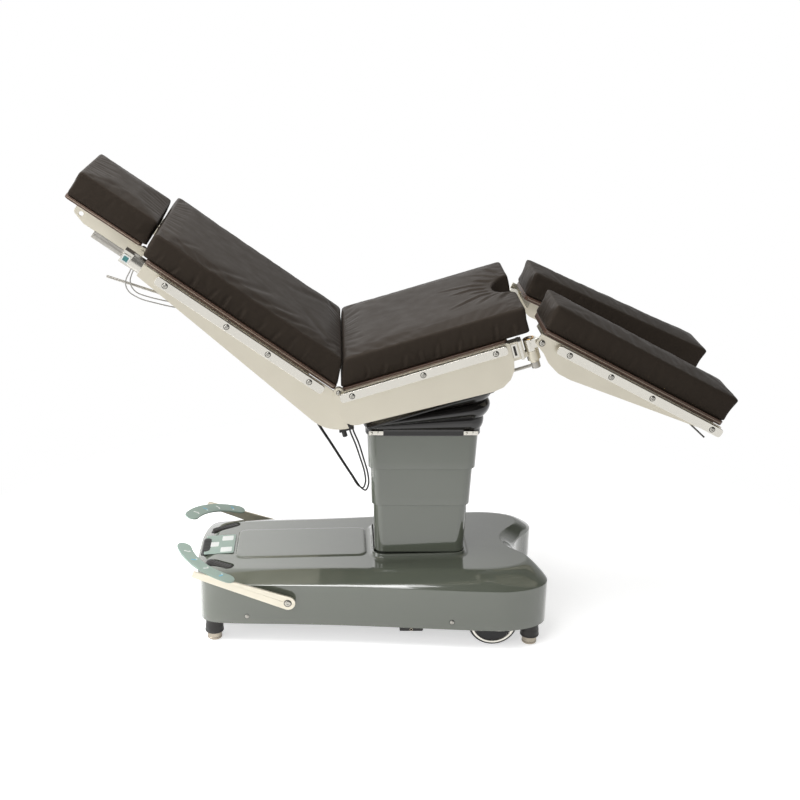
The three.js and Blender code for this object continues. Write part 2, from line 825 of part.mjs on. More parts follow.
const footPlaces = [
  ['levelling_foot_nose_right', noseFootX, -noseFootY], ['levelling_foot_nose_left', noseFootX, noseFootY],
  ['levelling_foot_rear_right', rearFootX, -rearFootY], ['levelling_foot_rear_left', rearFootX, rearFootY],
];

function chassis() {
  const top = chassisZ + chassisThickness;
  const plate = slab(inset(outline, baseWall + seatGap), chassisZ, top);
  const guide = slab(rectangle(columnX - guideLength / 2, columnX + guideLength / 2, -guideWidth / 2,
    guideWidth / 2, guideWall), top - bite, guideTopZ);
  const [boreLength, boreWidth] = [guideLength - 2 * guideWall, guideWidth - 2 * guideWall];
  const bore = block([columnX - boreLength / 2, -boreWidth / 2, top],
    [columnX + boreLength / 2, boreWidth / 2, guideTopZ + overrun]);
  const motor = block([motorX - motorLength / 2, -motorWidth / 2, top - bite],
    [motorX + motorLength / 2, motorWidth / 2, top + motorHeight]);
  const socket = block([socketPlateX - socketPlateLength / 2, -socketPlateY, socketPlateBottomZ],
    [socketPlateX + socketPlateLength / 2, -socketPlateY + socketPlateThickness, chassisZ + bite]);
  const wheelCuts = pair((side) => {
    const reach = rearWheelRadius + wheelCutMargin;
    const edges = [rearWheelY - rearWheelWidth / 2 - wheelCutMargin,
      rearWheelY + rearWheelWidth / 2 + wheelCutMargin];
    const [y0, y1] = between(...edges.map((y) => side * y));
    return block([rearWheelX - reach, y0, chassisZ - overrun], [rearWheelX + reach, y1, top + overrun]);
  });
  const stemHoles = nosePedals.map(({ x, y }) => bar([x, y, chassisZ - overrun], [x, y, top + overrun],
    nosePedalStemRadius + runningGap, smallSides));
  const guideHoles = carriageGuideX.map((x) => bar([x, 0, chassisZ - overrun], [x, 0, top + overrun],
    carriageGuideRadius + seatGap, smallSides));
  return cut(joined(plate, guide, motor, socket), bore, ...wheelCuts, ...stemHoles, ...guideHoles);
}

function foot() {
  return turned([
    [0, 0], [footTipRadius - footTipEdge, 0], [footTipRadius, footTipEdge], [footTipRadius, footTipHeight],
    [footBootBottomRadius, footTipHeight + footTipEdge], [footBootTopRadius, baseBottomZ - seatGap],
    [footStemRadius, baseBottomZ - seatGap], [footStemRadius, chassisZ - seatGap], [0, chassisZ - seatGap],
  ], footSides);
}

piece(tableFrame, 'base_cover', paint, baseCover());
piece(tableFrame, 'base_chassis', darkSteel, chassis());
footPlaces.forEach(([name, x, y]) => piece(tableFrame, name, steel, foot()).position.set(x, y, 0));

// Castors on a carriage that lowers to lift the feet off the floor
const rearAxleZ = wheelClearance + rearWheelRadius;
const noseAxleZ = wheelClearance + noseWheelRadius;
const carriageTopZ = carriageZ + carriageThickness;
const hangerY = rearWheelY - rearWheelWidth / 2 - runningGap - hangerThickness;

function castorCarriage() {
  const spine = block([noseCastorX - carriageArmLength, -carriageSpineWidth / 2, carriageZ],
    [rearWheelX + carriageArmLength / 2, carriageSpineWidth / 2, carriageTopZ]);
  const rearArm = block([rearWheelX - carriageArmLength / 2, -hangerY - hangerThickness, carriageZ],
    [rearWheelX + carriageArmLength / 2, hangerY + hangerThickness, carriageTopZ]);
  const noseArm = block([noseCastorX - carriageArmLength, -noseCastorY - forkHeadRadius, carriageZ],
    [noseCastorX + carriageArmLength, noseCastorY + forkHeadRadius, carriageTopZ]);
  const hangers = pair((side) => {
    const [y0, y1] = between(side * hangerY, side * (hangerY + hangerThickness));
    const plate = block([rearWheelX - hangerLength / 2, y0, rearAxleZ - hangerLength / 2],
      [rearWheelX + hangerLength / 2, y1, carriageZ + bite]);
    const axleEnd = rearWheelY + rearWheelWidth / 2 + runningGap;
    const axle = bar([rearWheelX, side * (hangerY + bite), rearAxleZ],
      [rearWheelX, side * axleEnd, rearAxleZ], axleRadius, smallSides);
    return [plate, axle];
  });
  const studs = pair((side) => bar([noseCastorX, side * noseCastorY, carriageZ + bite],
    [noseCastorX, side * noseCastorY, carriageZ - forkHeadThickness - seatGap], castorStudRadius,
      smallSides));
  const guides = carriageGuideX.map((x) => bar([x, 0, carriageTopZ - bite], [x, 0, carriageGuideTopZ],
    carriageGuideRadius, smallSides));
  return joined(spine, rearArm, noseArm, ...hangers, ...studs, ...guides);
}

function wheel(radius, width, bore) {
  const round = width * wheelEdgeShare;
  const rim = turned([
    [bore, -width / 2], [radius - round, -width / 2], [radius, -width / 2 + round],
    [radius, width / 2 - round], [radius - round, width / 2], [bore, width / 2], [bore, -width / 2],
  ], wheelSides);
  return rim.rotateX(PI / 2);
}

function noseFork() {
  const headZ = carriageZ - seatGap;
  const plateZ = headZ - forkHeadThickness;
  const halfGap = noseWheelWidth / 2 + runningGap;
  const head = bar([0, 0, plateZ], [0, 0, headZ], forkHeadRadius);
  const arms = pair((side) => {
    const [y0, y1] = between(side * halfGap, side * (halfGap + forkThickness));
    const arm = upright(roundedOutline([[-forkHeadRadius / 2, plateZ + bite, 0],
      [forkHeadRadius / 2, plateZ + bite, 0],
      [castorTrail + forkHeadRadius / 2, noseAxleZ - forkHeadRadius / 2, forkHeadRadius / 3],
      [castorTrail - forkHeadRadius / 2, noseAxleZ - forkHeadRadius / 2, forkHeadRadius / 3]]), y0, y1);
    return [arm];
  });
  const axle = bar([castorTrail, -halfGap - bite, noseAxleZ], [castorTrail, halfGap + bite, noseAxleZ],
    axleRadius, smallSides);
  const studHole = bar([0, 0, plateZ - overrun], [0, 0, headZ + overrun], castorStudRadius + runningGap,
    smallSides);
  return cut(joined(head, ...arms, axle), studHole);
}

piece(tableFrame, 'castor_carriage', darkSteel, castorCarriage());
Object.entries(sides).forEach(([label, side]) => {
  piece(tableFrame, `rear_wheel_${label}`, tyre,
    wheel(rearWheelRadius, rearWheelWidth, axleRadius + runningGap))
    .position.set(rearWheelX, side * rearWheelY, rearAxleZ);
  piece(tableFrame, `nose_fork_${label}`, railSteel, noseFork())
    .position.set(noseCastorX, side * noseCastorY, 0);
  piece(tableFrame, `nose_wheel_${label}`, tyre,
    wheel(noseWheelRadius, noseWheelWidth, axleRadius + runningGap))
    .position.set(noseCastorX + castorTrail, side * noseCastorY, noseAxleZ);
});

// Pedals
function sidePedal() {
  const length = pedalArmLength;
  const half = pedalArmDepth / 2;
  const arm = upright(roundedOutline([[half, -half, half * roundEndShare],
    [half, half, half * roundEndShare], [-length, half, 0], [-length, -half, 0]]),
    pedalArmY - pedalArmThickness / 2, pedalArmY + pedalArmThickness / 2);
  arm.rotateY(radians(pedalArmAngle));
  arm.translate(pedalPivotX, 0, pedalPivotZ);
  const pin = bar([pedalPivotX, pedalArmY - pedalPinLength, pedalPivotZ],
    [pedalPivotX, pedalArmY, pedalPivotZ], pedalPinRadius, smallSides);
  const [inner, outer] = [pedalPlateRadius - pedalPlateWidth / 2, pedalPlateRadius + pedalPlateWidth / 2];
  const [start, end] = [radians(pedalPlateStartAngle), radians(pedalPlateEndAngle)];
  const shape = new THREE.Shape();
  shape.absarc(0, 0, outer, start, end, false);
  shape.absarc(pedalPlateRadius * cos(end), pedalPlateRadius * sin(end), pedalPlateWidth / 2, end, end + PI,
    false);
  shape.absarc(0, 0, inner, end, start, true);
  shape.absarc(pedalPlateRadius * cos(start), pedalPlateRadius * sin(start), pedalPlateWidth / 2, start + PI,
    start + 2 * PI, false);
  const plate = new THREE.ExtrudeGeometry(shape, {
    depth: pedalPlateThickness, bevelEnabled: false, curveSegments: cornerSteps * 2,
  });
  plate.rotateY(radians(pedalPlateAngle));
  plate.translate(pedalPlateX, pedalPlateY, pedalPlateZ);
  return joined(arm, pin, plate);
}

function nosePedal(pedal) {
  const body = slab(pedalOutline(pedal, 0), nosePedalTopZ - nosePedalHeight, nosePedalTopZ);
  const stem = bar([pedal.x, pedal.y, chassisZ + nosePedalTravel + bite],
    [pedal.x, pedal.y, nosePedalTopZ - nosePedalHeight + bite], nosePedalStemRadius, smallSides);
  return joined(body, stem);
}

Object.entries(sides).forEach(([label, side]) => piece(tableFrame, `side_pedal_${label}`, steel,
  sidePedal(), side));
nosePedals.forEach((pedal) => piece(tableFrame, pedal.name, darkSteel, nosePedal(pedal)));

// Column covers, ram and tilt head
function coverShell(bottomLength, topLength, bottomZ, topZ, roof) {
  const outside = loft([columnRing(bottomLength, bottomZ), columnRing(topLength, topZ)]);
  const inside = loft([
    columnRing(bottomLength - 2 * coverWall, bottomZ - overrun, coverCorner - coverWall),
    columnRing(topLength - 2 * coverWall, roof ? topZ - coverWall : topZ + overrun, coverCorner - coverWall),
  ]);
  return cut(outside, inside);
}

const ramLength = guideLength - 2 * guideWall - 2 * ramGap;
const ramWidth = guideWidth - 2 * guideWall - 2 * ramGap;
const ramHeadTopZ = upperCoverTopZ - coverWall - seatGap;

function midCover() {
  const shell = coverShell(midCoverBottomLength, midCoverTopLength, midCoverBottomZ, midCoverTopZ, false);
  const innerTop = columnRing(midCoverTopLength - coverWall, 0).map((p) => new THREE.Vector2(p.x, p.y));
  const spider = slab(innerTop, midCoverTopZ - coverWall, midCoverTopZ);
  const [halfLength, halfWidth] = [ramLength / 2 + runningGap, ramWidth / 2 + runningGap];
  const hole = block([columnX - halfLength, -halfWidth, midCoverTopZ - coverWall - overrun],
    [columnX + halfLength, halfWidth, midCoverTopZ + overrun]);
  return cut(joined(shell, spider), hole);
}

const rollLugX = yokeLength / 2 + runningGap;

function columnRam() {
  const tube = block([columnX - ramLength / 2, -ramWidth / 2, ramBottomZ],
    [columnX + ramLength / 2, ramWidth / 2, ramHeadTopZ]);
  const flange = block([columnX - ramHeadLength / 2, -ramHeadWidth / 2, ramHeadTopZ - ramHeadThickness],
    [columnX + ramHeadLength / 2, ramHeadWidth / 2, ramHeadTopZ]);
  const lugs = pair((side) => {
    const [x0, x1] = between(side * rollLugX, side * (rollLugX + rollLugThickness));
    return block([columnX + x0, -rollLugWidth / 2, ramHeadTopZ - bite],
      [columnX + x1, rollLugWidth / 2, lateralAxisZ + rollLugRise]);
  });
  const reach = rollLugX + rollLugThickness + overrun;
  const hole = bar([columnX - reach, 0, lateralAxisZ], [columnX + reach, 0, lateralAxisZ],
    pivotRadius + runningGap, smallSides);
  return cut(joined(tube, flange, ...lugs), hole);
}

function upperCover() {
  const shell = coverShell(upperCoverBottomLength, upperCoverTopLength, upperCoverBottomZ, upperCoverTopZ,
    true);
  const reachX = rollLugX + rollLugThickness + runningGap;
  const reachY = rollLugWidth / 2 + runningGap;
  return cut(shell, block([columnX - reachX, -reachY, upperCoverTopZ - coverWall - overrun],
    [columnX + reachX, reachY, upperCoverTopZ + overrun]));
}

const pitchPinEnd = pitchLugInner + pitchLugThickness + bite;

function tiltYoke() {
  const body = block([columnX - yokeLength / 2, -yokeWidth / 2, yokeBottomZ],
    [columnX + yokeLength / 2, yokeWidth / 2, yokeTopZ]);
  const rollReach = rollLugX + rollLugThickness;
  const rollPin = bar([columnX - rollReach, 0, lateralAxisZ], [columnX + rollReach, 0, lateralAxisZ],
    pivotRadius, smallSides);
  const pitchPin = bar([columnX, -pitchPinEnd, trendAxisZ], [columnX, pitchPinEnd, trendAxisZ], pivotRadius,
    smallSides);
  return joined(body, rollPin, pitchPin);
}

piece(tableFrame, 'column_lower_cover', paint,
  coverShell(lowerCoverBottomLength, lowerCoverTopLength, lowerCoverBottomZ, lowerCoverTopZ, false));
piece(tableFrame, 'column_middle_cover', paint, midCover());
piece(tableFrame, 'column_upper_cover', paint, upperCover());
piece(tableFrame, 'column_ram', railSteel, columnRam());
piece(tableFrame, 'tilt_yoke', darkSteel, tiltYoke());

// Section groups: X runs along the section, Z is its normal, and the back and head run toward -X
const seat = section(tableFrame, hipX, hipZ, -seatAngle);
const back = section(tableFrame, hipX, hipZ, backAngle);
const head = section(back, -neckS, neckHeight, headAngle - backAngle);
const legs = {
  right: section(seat, kneeS, kneePivotHeight, rightLegAngle + seatAngle),
  left: section(seat, kneeS, kneePivotHeight, leftLegAngle + seatAngle),
};

// Bellows between the column and the seat, in two halves that meet at the tilt yoke
const seatTrayBottom = seatBoardTop - boardThickness - seatGap - trayThickness;
const bellowsTopN = webBottom - seatGap;
const bellowsCeiling = bellowsTopN - bellowsFlangeThickness;
const bellowsSplitGapShare = seatGap / (lateralAxisZ - bellowsBottomZ - bellowsBandHeight);

function seatPoint(s, y, n) {
  const angle = radians(seatAngle);
  return new THREE.Vector3(hipX + s * cos(angle) - n * sin(angle), y,
    hipZ + s * sin(angle) + n * cos(angle));
}

function bellowsRing(share, grow) {
  const { lerp } = THREE.MathUtils;
  const halfLength = lerp(upperCoverTopLength, bellowsTopEnd - bellowsTopStart, share) / 2 + grow;
  const halfWidth = lerp(upperCoverTopLength - coverDepthLoss, bellowsTopWidth, share) / 2 + grow;
  const corner = lerp(coverCorner, bellowsCorner, share) + grow;
  return rectangle(-halfLength, halfLength, -halfWidth, halfWidth, corner).map((p) => {
    const low = new THREE.Vector3(columnX + p.x, p.y, bellowsBottomZ + bellowsBandHeight);
    return low.lerp(seatPoint((bellowsTopStart + bellowsTopEnd) / 2 + p.x, p.y, bellowsCeiling), share);
  });
}

function bellows(folds) {
  const grows = folds.map(([share, ridgeShare]) => [share, bellowsValley + bellowsRidge * ridgeShare]);
  return [bellowsWall, 0].map((wall) => grows.map(([share, grow]) => bellowsRing(share, grow + wall)));
}

function lowerBellows() {
  const [outside, inside] = bellows(bellowsFoldShares.filter(([share]) => share <= bellowsSplitShare));
  [bellowsWall, 0].forEach((wall, i) => {
    const band = bellowsRing(0, seatGap + wall).map((p) => p.setZ(bellowsBottomZ));
    [outside, inside][i].unshift(band);
  });
  return hollowLoft(outside, inside);
}

// The upper half ends in a flange under the seat's webs
function upperBellows() {
  const shares = bellowsFoldShares.filter(([share]) => share >= bellowsSplitShare);
  const [outside, inside] = bellows([[shares[0][0] + bellowsSplitGapShare, shares[0][1]],
    ...shares.slice(1)]);
  const [mouthStart, mouthEnd] = [webStart + bellowsMouthInset, webEnd - bellowsMouthInset];
  const mouthHalfWidth = pitchLugInner + pitchLugThickness + overrun;
  const steps = [
    [bellowsFlangeStart, bellowsFlangeEnd, bellowsFlangeHalfWidth, bellowsCeiling],
    [bellowsFlangeStart, bellowsFlangeEnd, bellowsFlangeHalfWidth, bellowsTopN],
    [mouthStart, mouthEnd, mouthHalfWidth, bellowsTopN],
    [mouthStart, mouthEnd, mouthHalfWidth, bellowsCeiling],
  ];
  const rings = steps.map(([start, end, halfWidth, n]) => rectangle(start, end, -halfWidth, halfWidth,
    bellowsMouthInset).map((p) => seatPoint(p.x, p.y, n)));
  return hollowLoft([...outside, ...rings], inside);
}

// A tube wall between matching outer and inner rings, open at both ends
function hollowLoft(outside, inside) {
  const rings = [...outside, ...inside.slice().reverse()];
  const count = rings[0].length;
  const faces = [];
  rings.forEach((ring, r) => {
    const next = (r + 1) % rings.length;
    for (let i = 0; i < count; i += 1) {
      const j = (i + 1) % count;
      faces.push(r * count + i, r * count + j, next * count + j, r * count + i, next * count + j,
        next * count + i);
    }
  });
  const geometry = new THREE.BufferGeometry().setFromPoints(rings.flat());
  geometry.setIndex(faces);
  return outward(geometry);
}

piece(tableFrame, 'bellows_lower', rubber, lowerBellows());
piece(tableFrame, 'bellows_upper', rubber, upperBellows());

// Pads
function pad(edge, bottomZ, thicknessAt, lean) {
  const place = (ring, share, extra) => ring.map((p) => {
    const thickness = thicknessAt(p.x);
    return new THREE.Vector3(lean(p.x, share), p.y, bottomZ + thickness * share + extra);
  });
  const sideRings = padProfileShares.map(([share, drawnIn]) => place(shrunk(edge, padInset * drawnIn),
    share, 0));
  const crownRings = padCrownShares.map(([reachShare, crownShare]) => place(
    shrunk(edge, padInset + padCrownReach * reachShare), 1, padCrown * crownShare));
  return loft([...sideRings, ...crownRings]);
}

// Moves one or both ends of a pad along X as it rises, in proportion to the distance from the other end
const leanBetween = (start, end, startLean, endLean) => (x, share) => {
  const along = (x - start) / (end - start);
  return x + share * THREE.MathUtils.lerp(startLean, endLean, along);
};

// The near and far sides of a rounded rectangle
function rectangleSides(start, end, half, corner) {
  const ring = rectangle(start, end, -half, half, corner, padCornerSteps);
  const perCorner = ring.length / 4;
  return [ring.slice(0, 2 * perCorner), ring.slice(2 * perCorner)];
}

// A rounded rectangle with a round cut-out in its +X end
function notchedOutline(start, end, half, corner, cutHalf, radius) {
  const [near, far] = rectangleSides(start, end, half, corner);
  const spread = Math.asin(cutHalf / radius);
  const arcSteps = 2 * cornerSteps;
  const arc = Array.from({ length: arcSteps + 1 }, (_, k) => {
    const angle = THREE.MathUtils.lerp(-spread, spread, k / arcSteps);
    return new THREE.Vector2(end + radius * cos(spread) - radius * cos(angle), radius * sin(angle));
  });
  return [...near, ...arc, ...far];
}

function seatPad() {
  const edge = notchedOutline(seatPadStart, seatPadEnd, padHalfWidth, padCorner, cutoutHalfWidth,
    cutoutRadius);
  const along = (x) => (x - seatPadStart) / (seatPadEnd - seatPadStart);
  const thickness = (x) => THREE.MathUtils.lerp(seatPadHipThickness, seatPadKneeThickness, along(x));
  return pad(edge, seatBoardTop + seatGap, thickness,
    leanBetween(seatPadStart, seatPadEnd, seatPadHipLean, seatPadKneeLean));
}

// Seat section
function seatBoard() {
  const edge = notchedOutline(seatBoardStart, seatBoardEnd, boardHalfWidth, boardCorner,
    cutoutHalfWidth - cutoutBoardMargin, cutoutRadius);
  return slab(edge, seatBoardTop - boardThickness, seatBoardTop);
}

function seatFrame() {
  const plateOutline = roundedOutline([
    [seatPlateStart, seatPlateTop, seatLugRadius / 2], [seatPlateEnd, seatPlateTop, seatLugRadius / 2],
    [seatPlateEnd, -seatPlateKneeDepth, seatKneeCorner], [seatPlateStart, -seatPlateHipDepth, seatHipCorner],
  ]);
  const plates = pair((side) => {
    const [y0, y1] = between(side * seatPlateInnerY, side * seatPlateOuterY);
    const pinStart = backPlateOuterY - plateThickness - bite;
    return [
      upright(plateOutline, y0, y1),
      bar([0, y0, 0], [0, y1, 0], seatLugRadius),
      bar([0, side * pinStart, 0], [0, side * (seatPlateOuterY + bite), 0], hipPinRadius, smallSides),
    ];
  });
  const reach = seatPlateInnerY + bite;
  const trayTop = seatTrayBottom + trayThickness;
  const trayEdge = notchedOutline(seatTrayStart, seatPlateEnd - bite, reach, bite,
    cutoutHalfWidth - cutoutBoardMargin, cutoutRadius);
  const tray = slab(trayEdge, seatTrayBottom, trayTop);
  const hipBar = block([seatBarStart, -reach, seatTrayBottom - seatBarHeight],
    [seatBarStart + seatBarLength, reach, trayTop]);
  const axis = seatLocal(columnX, trendAxisZ);
  const lugs = pair((side) => {
    const [y0, y1] = between(side * pitchLugInner, side * (pitchLugInner + pitchLugThickness));
    return [
      block([webStart, y0, webBottom], [webEnd, y1, trayTop - trayThickness / 2]),
      block([axis.s - pitchLugWidth / 2, y0, axis.n - pitchLugDrop],
        [axis.s + pitchLugWidth / 2, y1, webBottom + bite]),
    ];
  });
  const endBars = pair((side) => {
    const [y0, y1] = between(side * (cutoutHalfWidth + bite), side * reach);
    return [block([seatEndBarS - seatBarLength, y0, seatTrayBottom - seatBarHeight],
      [seatEndBarS, y1, trayTop])];
  });
  const knees = pair(kneeSocket);
  const lugReach = pitchPinEnd + overrun;
  const hole = bar([axis.s, -lugReach, axis.n], [axis.s, lugReach, axis.n], pivotRadius + runningGap,
    smallSides);
  return cut(joined(...plates, tray, hipBar, ...endBars, ...lugs, ...knees), hole);
}

function seatLocal(x, z) {
  const angle = radians(seatAngle);
  const [dx, dz] = [x - hipX, z - hipZ];
  return { s: dx * cos(angle) + dz * sin(angle), n: -dx * sin(angle) + dz * cos(angle) };
}

const knuckleBottom = kneeBarrelBottom - seatGap - knuckleDepth;

// Seat side of a knee: plug block, link, lower barrel, pivot pin and nut
function kneeSocket(side) {
  const [y0, y1] = between(side * kneeBlockInner, side * (kneeBlockInner + kneeBlockWidth));
  const bridge = block([seatEndBarS - bite, y0, seatTrayBottom - seatBarHeight],
    [kneeBlockStart + bite, y1, seatTrayBottom + trayThickness]);
  const plug = block([kneeBlockStart, y0, -kneeBlockHeight],
    [kneeBlockEnd, y1, seatTrayBottom + trayThickness]);
  const top = kneeBarrelBottom - seatGap;
  const linkHalf = kneeLinkWidth / 2;
  const link = block([kneeBlockEnd - bite, side * kneeY - linkHalf, max(knuckleBottom, -kneeBlockHeight)],
    [kneeBarrelS, side * kneeY + linkHalf, top]);
  const at = (n) => [kneeBarrelS, side * kneeY, n];
  const barrel = bar(at(knuckleBottom), at(top), kneeBarrelRadius);
  const pin = bar(at(top - bite), at(kneeBarrelTop), kneePinRadius, smallSides);
  const nut = bar(at(knuckleBottom - kneeNutHeight), at(knuckleBottom + bite), kneeNutRadius, 6);
  return [bridge, plug, link, barrel, pin, nut];
}

function rail(start, end, top, screwShares, plateY) {
  const edge = rectangle(start, end, top - railDepth, top, railEnd, padCornerSteps);
  const body = upright(edge, railInnerY, railInnerY + railThickness);
  const screws = screwShares.map((share) => {
    const x = THREE.MathUtils.lerp(start, end, share);
    return bar([x, plateY + seatGap, top - railDepth / 2], [x, railInnerY + bite, top - railDepth / 2],
      standoffRadius, smallSides);
  });
  return joined(body, ...screws);
}

function cableBracket() {
  const top = seatTrayBottom - seatBarHeight - seatGap;
  const [y0, y1] = between(-cableBracketY - cableBracketWidth / 2, -cableBracketY + cableBracketWidth / 2);
  const half = cableBracketLength / 2;
  const foot = cableBracketBottom + cableBracketThickness;
  const strap = upright(roundedOutline([
    [seatBarStart, top, 0], [cableBracketS - half, foot - bite, 0],
    [cableBracketS - half + cableBracketStrapLength, foot - bite, 0], [seatBarStart + seatBarLength, top, 0],
  ]), y0, y0 + cableBracketThickness);
  const shelf = block([cableBracketS - half, y0, cableBracketBottom], [cableBracketS + half, y1, foot]);
  const gland = bar([cableBracketS - half / 2, -cableBracketY, cableBracketBottom - cableGlandLength],
    [cableBracketS - half / 2, -cableBracketY, cableBracketBottom + bite], cableGlandRadius, smallSides);
  return joined(strap, shelf, gland);
}

piece(seat, 'seat_frame', steel, seatFrame());
piece(seat, 'seat_board', board, seatBoard());
piece(seat, 'seat_cushion', padCloth, seatPad());
Object.entries(sides).forEach(([label, side]) => piece(seat, `seat_rail_${label}`, railSteel,
  rail(seatRailStart, seatRailEnd, seatRailTop, seatRailScrewShares, seatPlateOuterY), side));
piece(seat, 'cable_bracket', blackPlastic, cableBracket());

// Back section, with s measured from the hip toward the head along -X
const backTrayTop = backBoardTop - boardThickness - seatGap;

function backPlateOutline() {
  const edgeTurn = Math.atan((backHipRadius - backPlateHeadDepth) / backPlateEnd);
  const [arcStart, arcEnd] = [3 * PI / 2 - edgeTurn, 3 * PI / 2 + radians(backAngle + backSectorAngle)];
  const points = [new THREE.Vector2(-backPlateEnd, backPlateTop),
    new THREE.Vector2(-backPlateEnd, -backPlateHeadDepth)];
  for (let k = 0; k <= roundSides / 2; k += 1) {
    const angle = THREE.MathUtils.lerp(arcStart, arcEnd, 2 * k / roundSides);
    points.push(new THREE.Vector2(backHipRadius * cos(angle), backHipRadius * sin(angle)));
  }
  points.push(new THREE.Vector2(0, -seatLugRadius));
  points.push(new THREE.Vector2(0, backPlateTop));
  return points;
}

function backFrame() {
  const plates = pair((side) => {
    const [y0, y1] = between(side * backPlateInnerY, side * backPlateOuterY);
    return [upright(backPlateOutline(), y0, y1), bar([0, y0, 0], [0, y1, 0], seatLugRadius)];
  });
  const reach = backPlateInnerY + bite;
  const bottom = backTrayTop - trayThickness;
  const tray = block([-backPlateEnd, -reach, bottom], [-backHipBarS, reach, backTrayTop]);
  const bars = [backHipBarS, backMidBarS, backHeadBarS].map((s) => block(
    [-s - seatBarLength, -reach, bottom - seatBarHeight], [-s, reach, backTrayTop],
  ));
  const neck = pair((side) => {
    const [y0, y1] = between(side * neckLugInner, side * (neckLugInner + neckLugThickness));
    const [pin0, pin1] = between(side * neckLugInner, side * (headPlateY + plateThickness));
    return [
      block([-neckS, y0, neckHeight - neckLugRadius],
        [-neckS + neckLugLength, y1, bottom + trayThickness / 2]),
      bar([-neckS, y0, neckHeight], [-neckS, y1, neckHeight], neckLugRadius),
      bar([-neckS, pin0, neckHeight], [-neckS, pin1, neckHeight], neckPinRadius, smallSides),
    ];
  });
  const lever = [
    block([-leverPivotS - leverEyeRadius, -leverY + leverEyeRadius, leverPivotHeight - leverEyeRadius],
      [-leverPivotS + leverEyeRadius, -leverY + 2 * leverEyeRadius, bottom + trayThickness / 2]),
    bar([-leverPivotS, -leverY + leverEyeRadius + bite, leverPivotHeight],
      [-leverPivotS, -leverY - leverEyeRadius, leverPivotHeight], leverPinRadius, smallSides),
  ];
  const clips = cableClipS.map((s) => block([-s - cableClipLength, -backPlateOuterY + bite, cableClipBottom],
    [-s, -cableClipInner, cableClipTop]));
  const pinHole = bar([0, -seatPlateOuterY, 0], [0, seatPlateOuterY, 0], hipPinRadius + runningGap,
    smallSides);
  return cut(joined(...plates, tray, ...bars, ...neck, ...lever, ...clips), pinHole);
}

function backBoard() {
  return slab(rectangle(-backPlateEnd, -backBoardStart, -boardHalfWidth, boardHalfWidth, boardCorner),
    backBoardTop - boardThickness, backBoardTop);
}

function backPad() {
  const edge = rectangle(-backPadEnd, -backPadStart, -padHalfWidth, padHalfWidth, padCorner, padCornerSteps);
  return pad(edge, backBoardTop + seatGap, () => backPadThickness,
    leanBetween(-backPadEnd, -backPadStart, -backPadHeadLean, -backPadHipLean));
}

// Socket barrel and clamp block that hold the head section's grip
function headSocket() {
  const x = -backPlateEnd - seatGap;
  const barrel = bar([x, socketY, socketHeight], [x - socketLength, socketY, socketHeight], socketRadius);
  const end = x - socketLength - clampBlockLength;
  const clamp = block([end, socketY - clampBlockWidth / 2, socketHeight - clampBlockHeight / 2],
    [x - socketLength + bite, socketY + clampBlockWidth / 2, socketHeight + clampBlockHeight / 2]);
  const bore = bar([end - overrun, socketY, socketHeight],
    [end + gripStubDepth + runningGap, socketY, socketHeight], gripStubRadius + runningGap, smallSides);
  return cut(joined(barrel, clamp), bore);
}

const gripStart = -backPlateEnd - seatGap - socketLength - clampBlockLength - seatGap;

function headGrip() {
  const grip = bar([gripStart, socketY, socketHeight], [gripStart - gripLength, socketY, socketHeight],
    gripRadius);
  const stub = bar([gripStart - bite, socketY, socketHeight],
    [gripStart + gripStubDepth, socketY, socketHeight], gripStubRadius, smallSides);
  return joined(grip, stub);
}

function backLever() {
  const eye = bar([-leverPivotS, -leverY - leverEyeRadius / 2, leverPivotHeight],
    [-leverPivotS, -leverY + leverEyeRadius / 2, leverPivotHeight], leverEyeRadius, smallSides);
  const angle = radians(leverAngle);
  const end = [-leverPivotS - leverLength * cos(angle), -leverY,
    leverPivotHeight - leverLength * sin(angle)];
  const start = [-leverPivotS - leverRodStart, -leverY, leverPivotHeight - leverRodDrop];
  const hole = bar([-leverPivotS, -leverY - 2 * leverEyeRadius, leverPivotHeight],
    [-leverPivotS, -leverY + 2 * leverEyeRadius, leverPivotHeight], leverPinRadius + runningGap, smallSides);
  return cut(joined(eye, bar(start, end, leverRadius, smallSides)), hole);
}

piece(back, 'back_frame', steel, backFrame());
piece(back, 'back_board', board, backBoard());
piece(back, 'back_cushion', padCloth, backPad());
Object.entries(sides).forEach(([label, side]) => {
  piece(back, `back_rail_${label}`, railSteel,
    rail(-backRailEnd, -backRailStart, backRailTop, backRailScrewShares.map((share) => 1 - share),
      backPlateOuterY),
    side);
  piece(back, `head_socket_${label}`, railSteel, headSocket(), side);
  piece(back, `head_grip_${label}`, railSteel, headGrip(), side);
});
piece(back, 'back_lever', greyPlastic, backLever());

// Head section
const headBoardTop = headPadBottom - seatGap;
const headPlateTop = headBoardTop - headBoardThickness - seatGap;

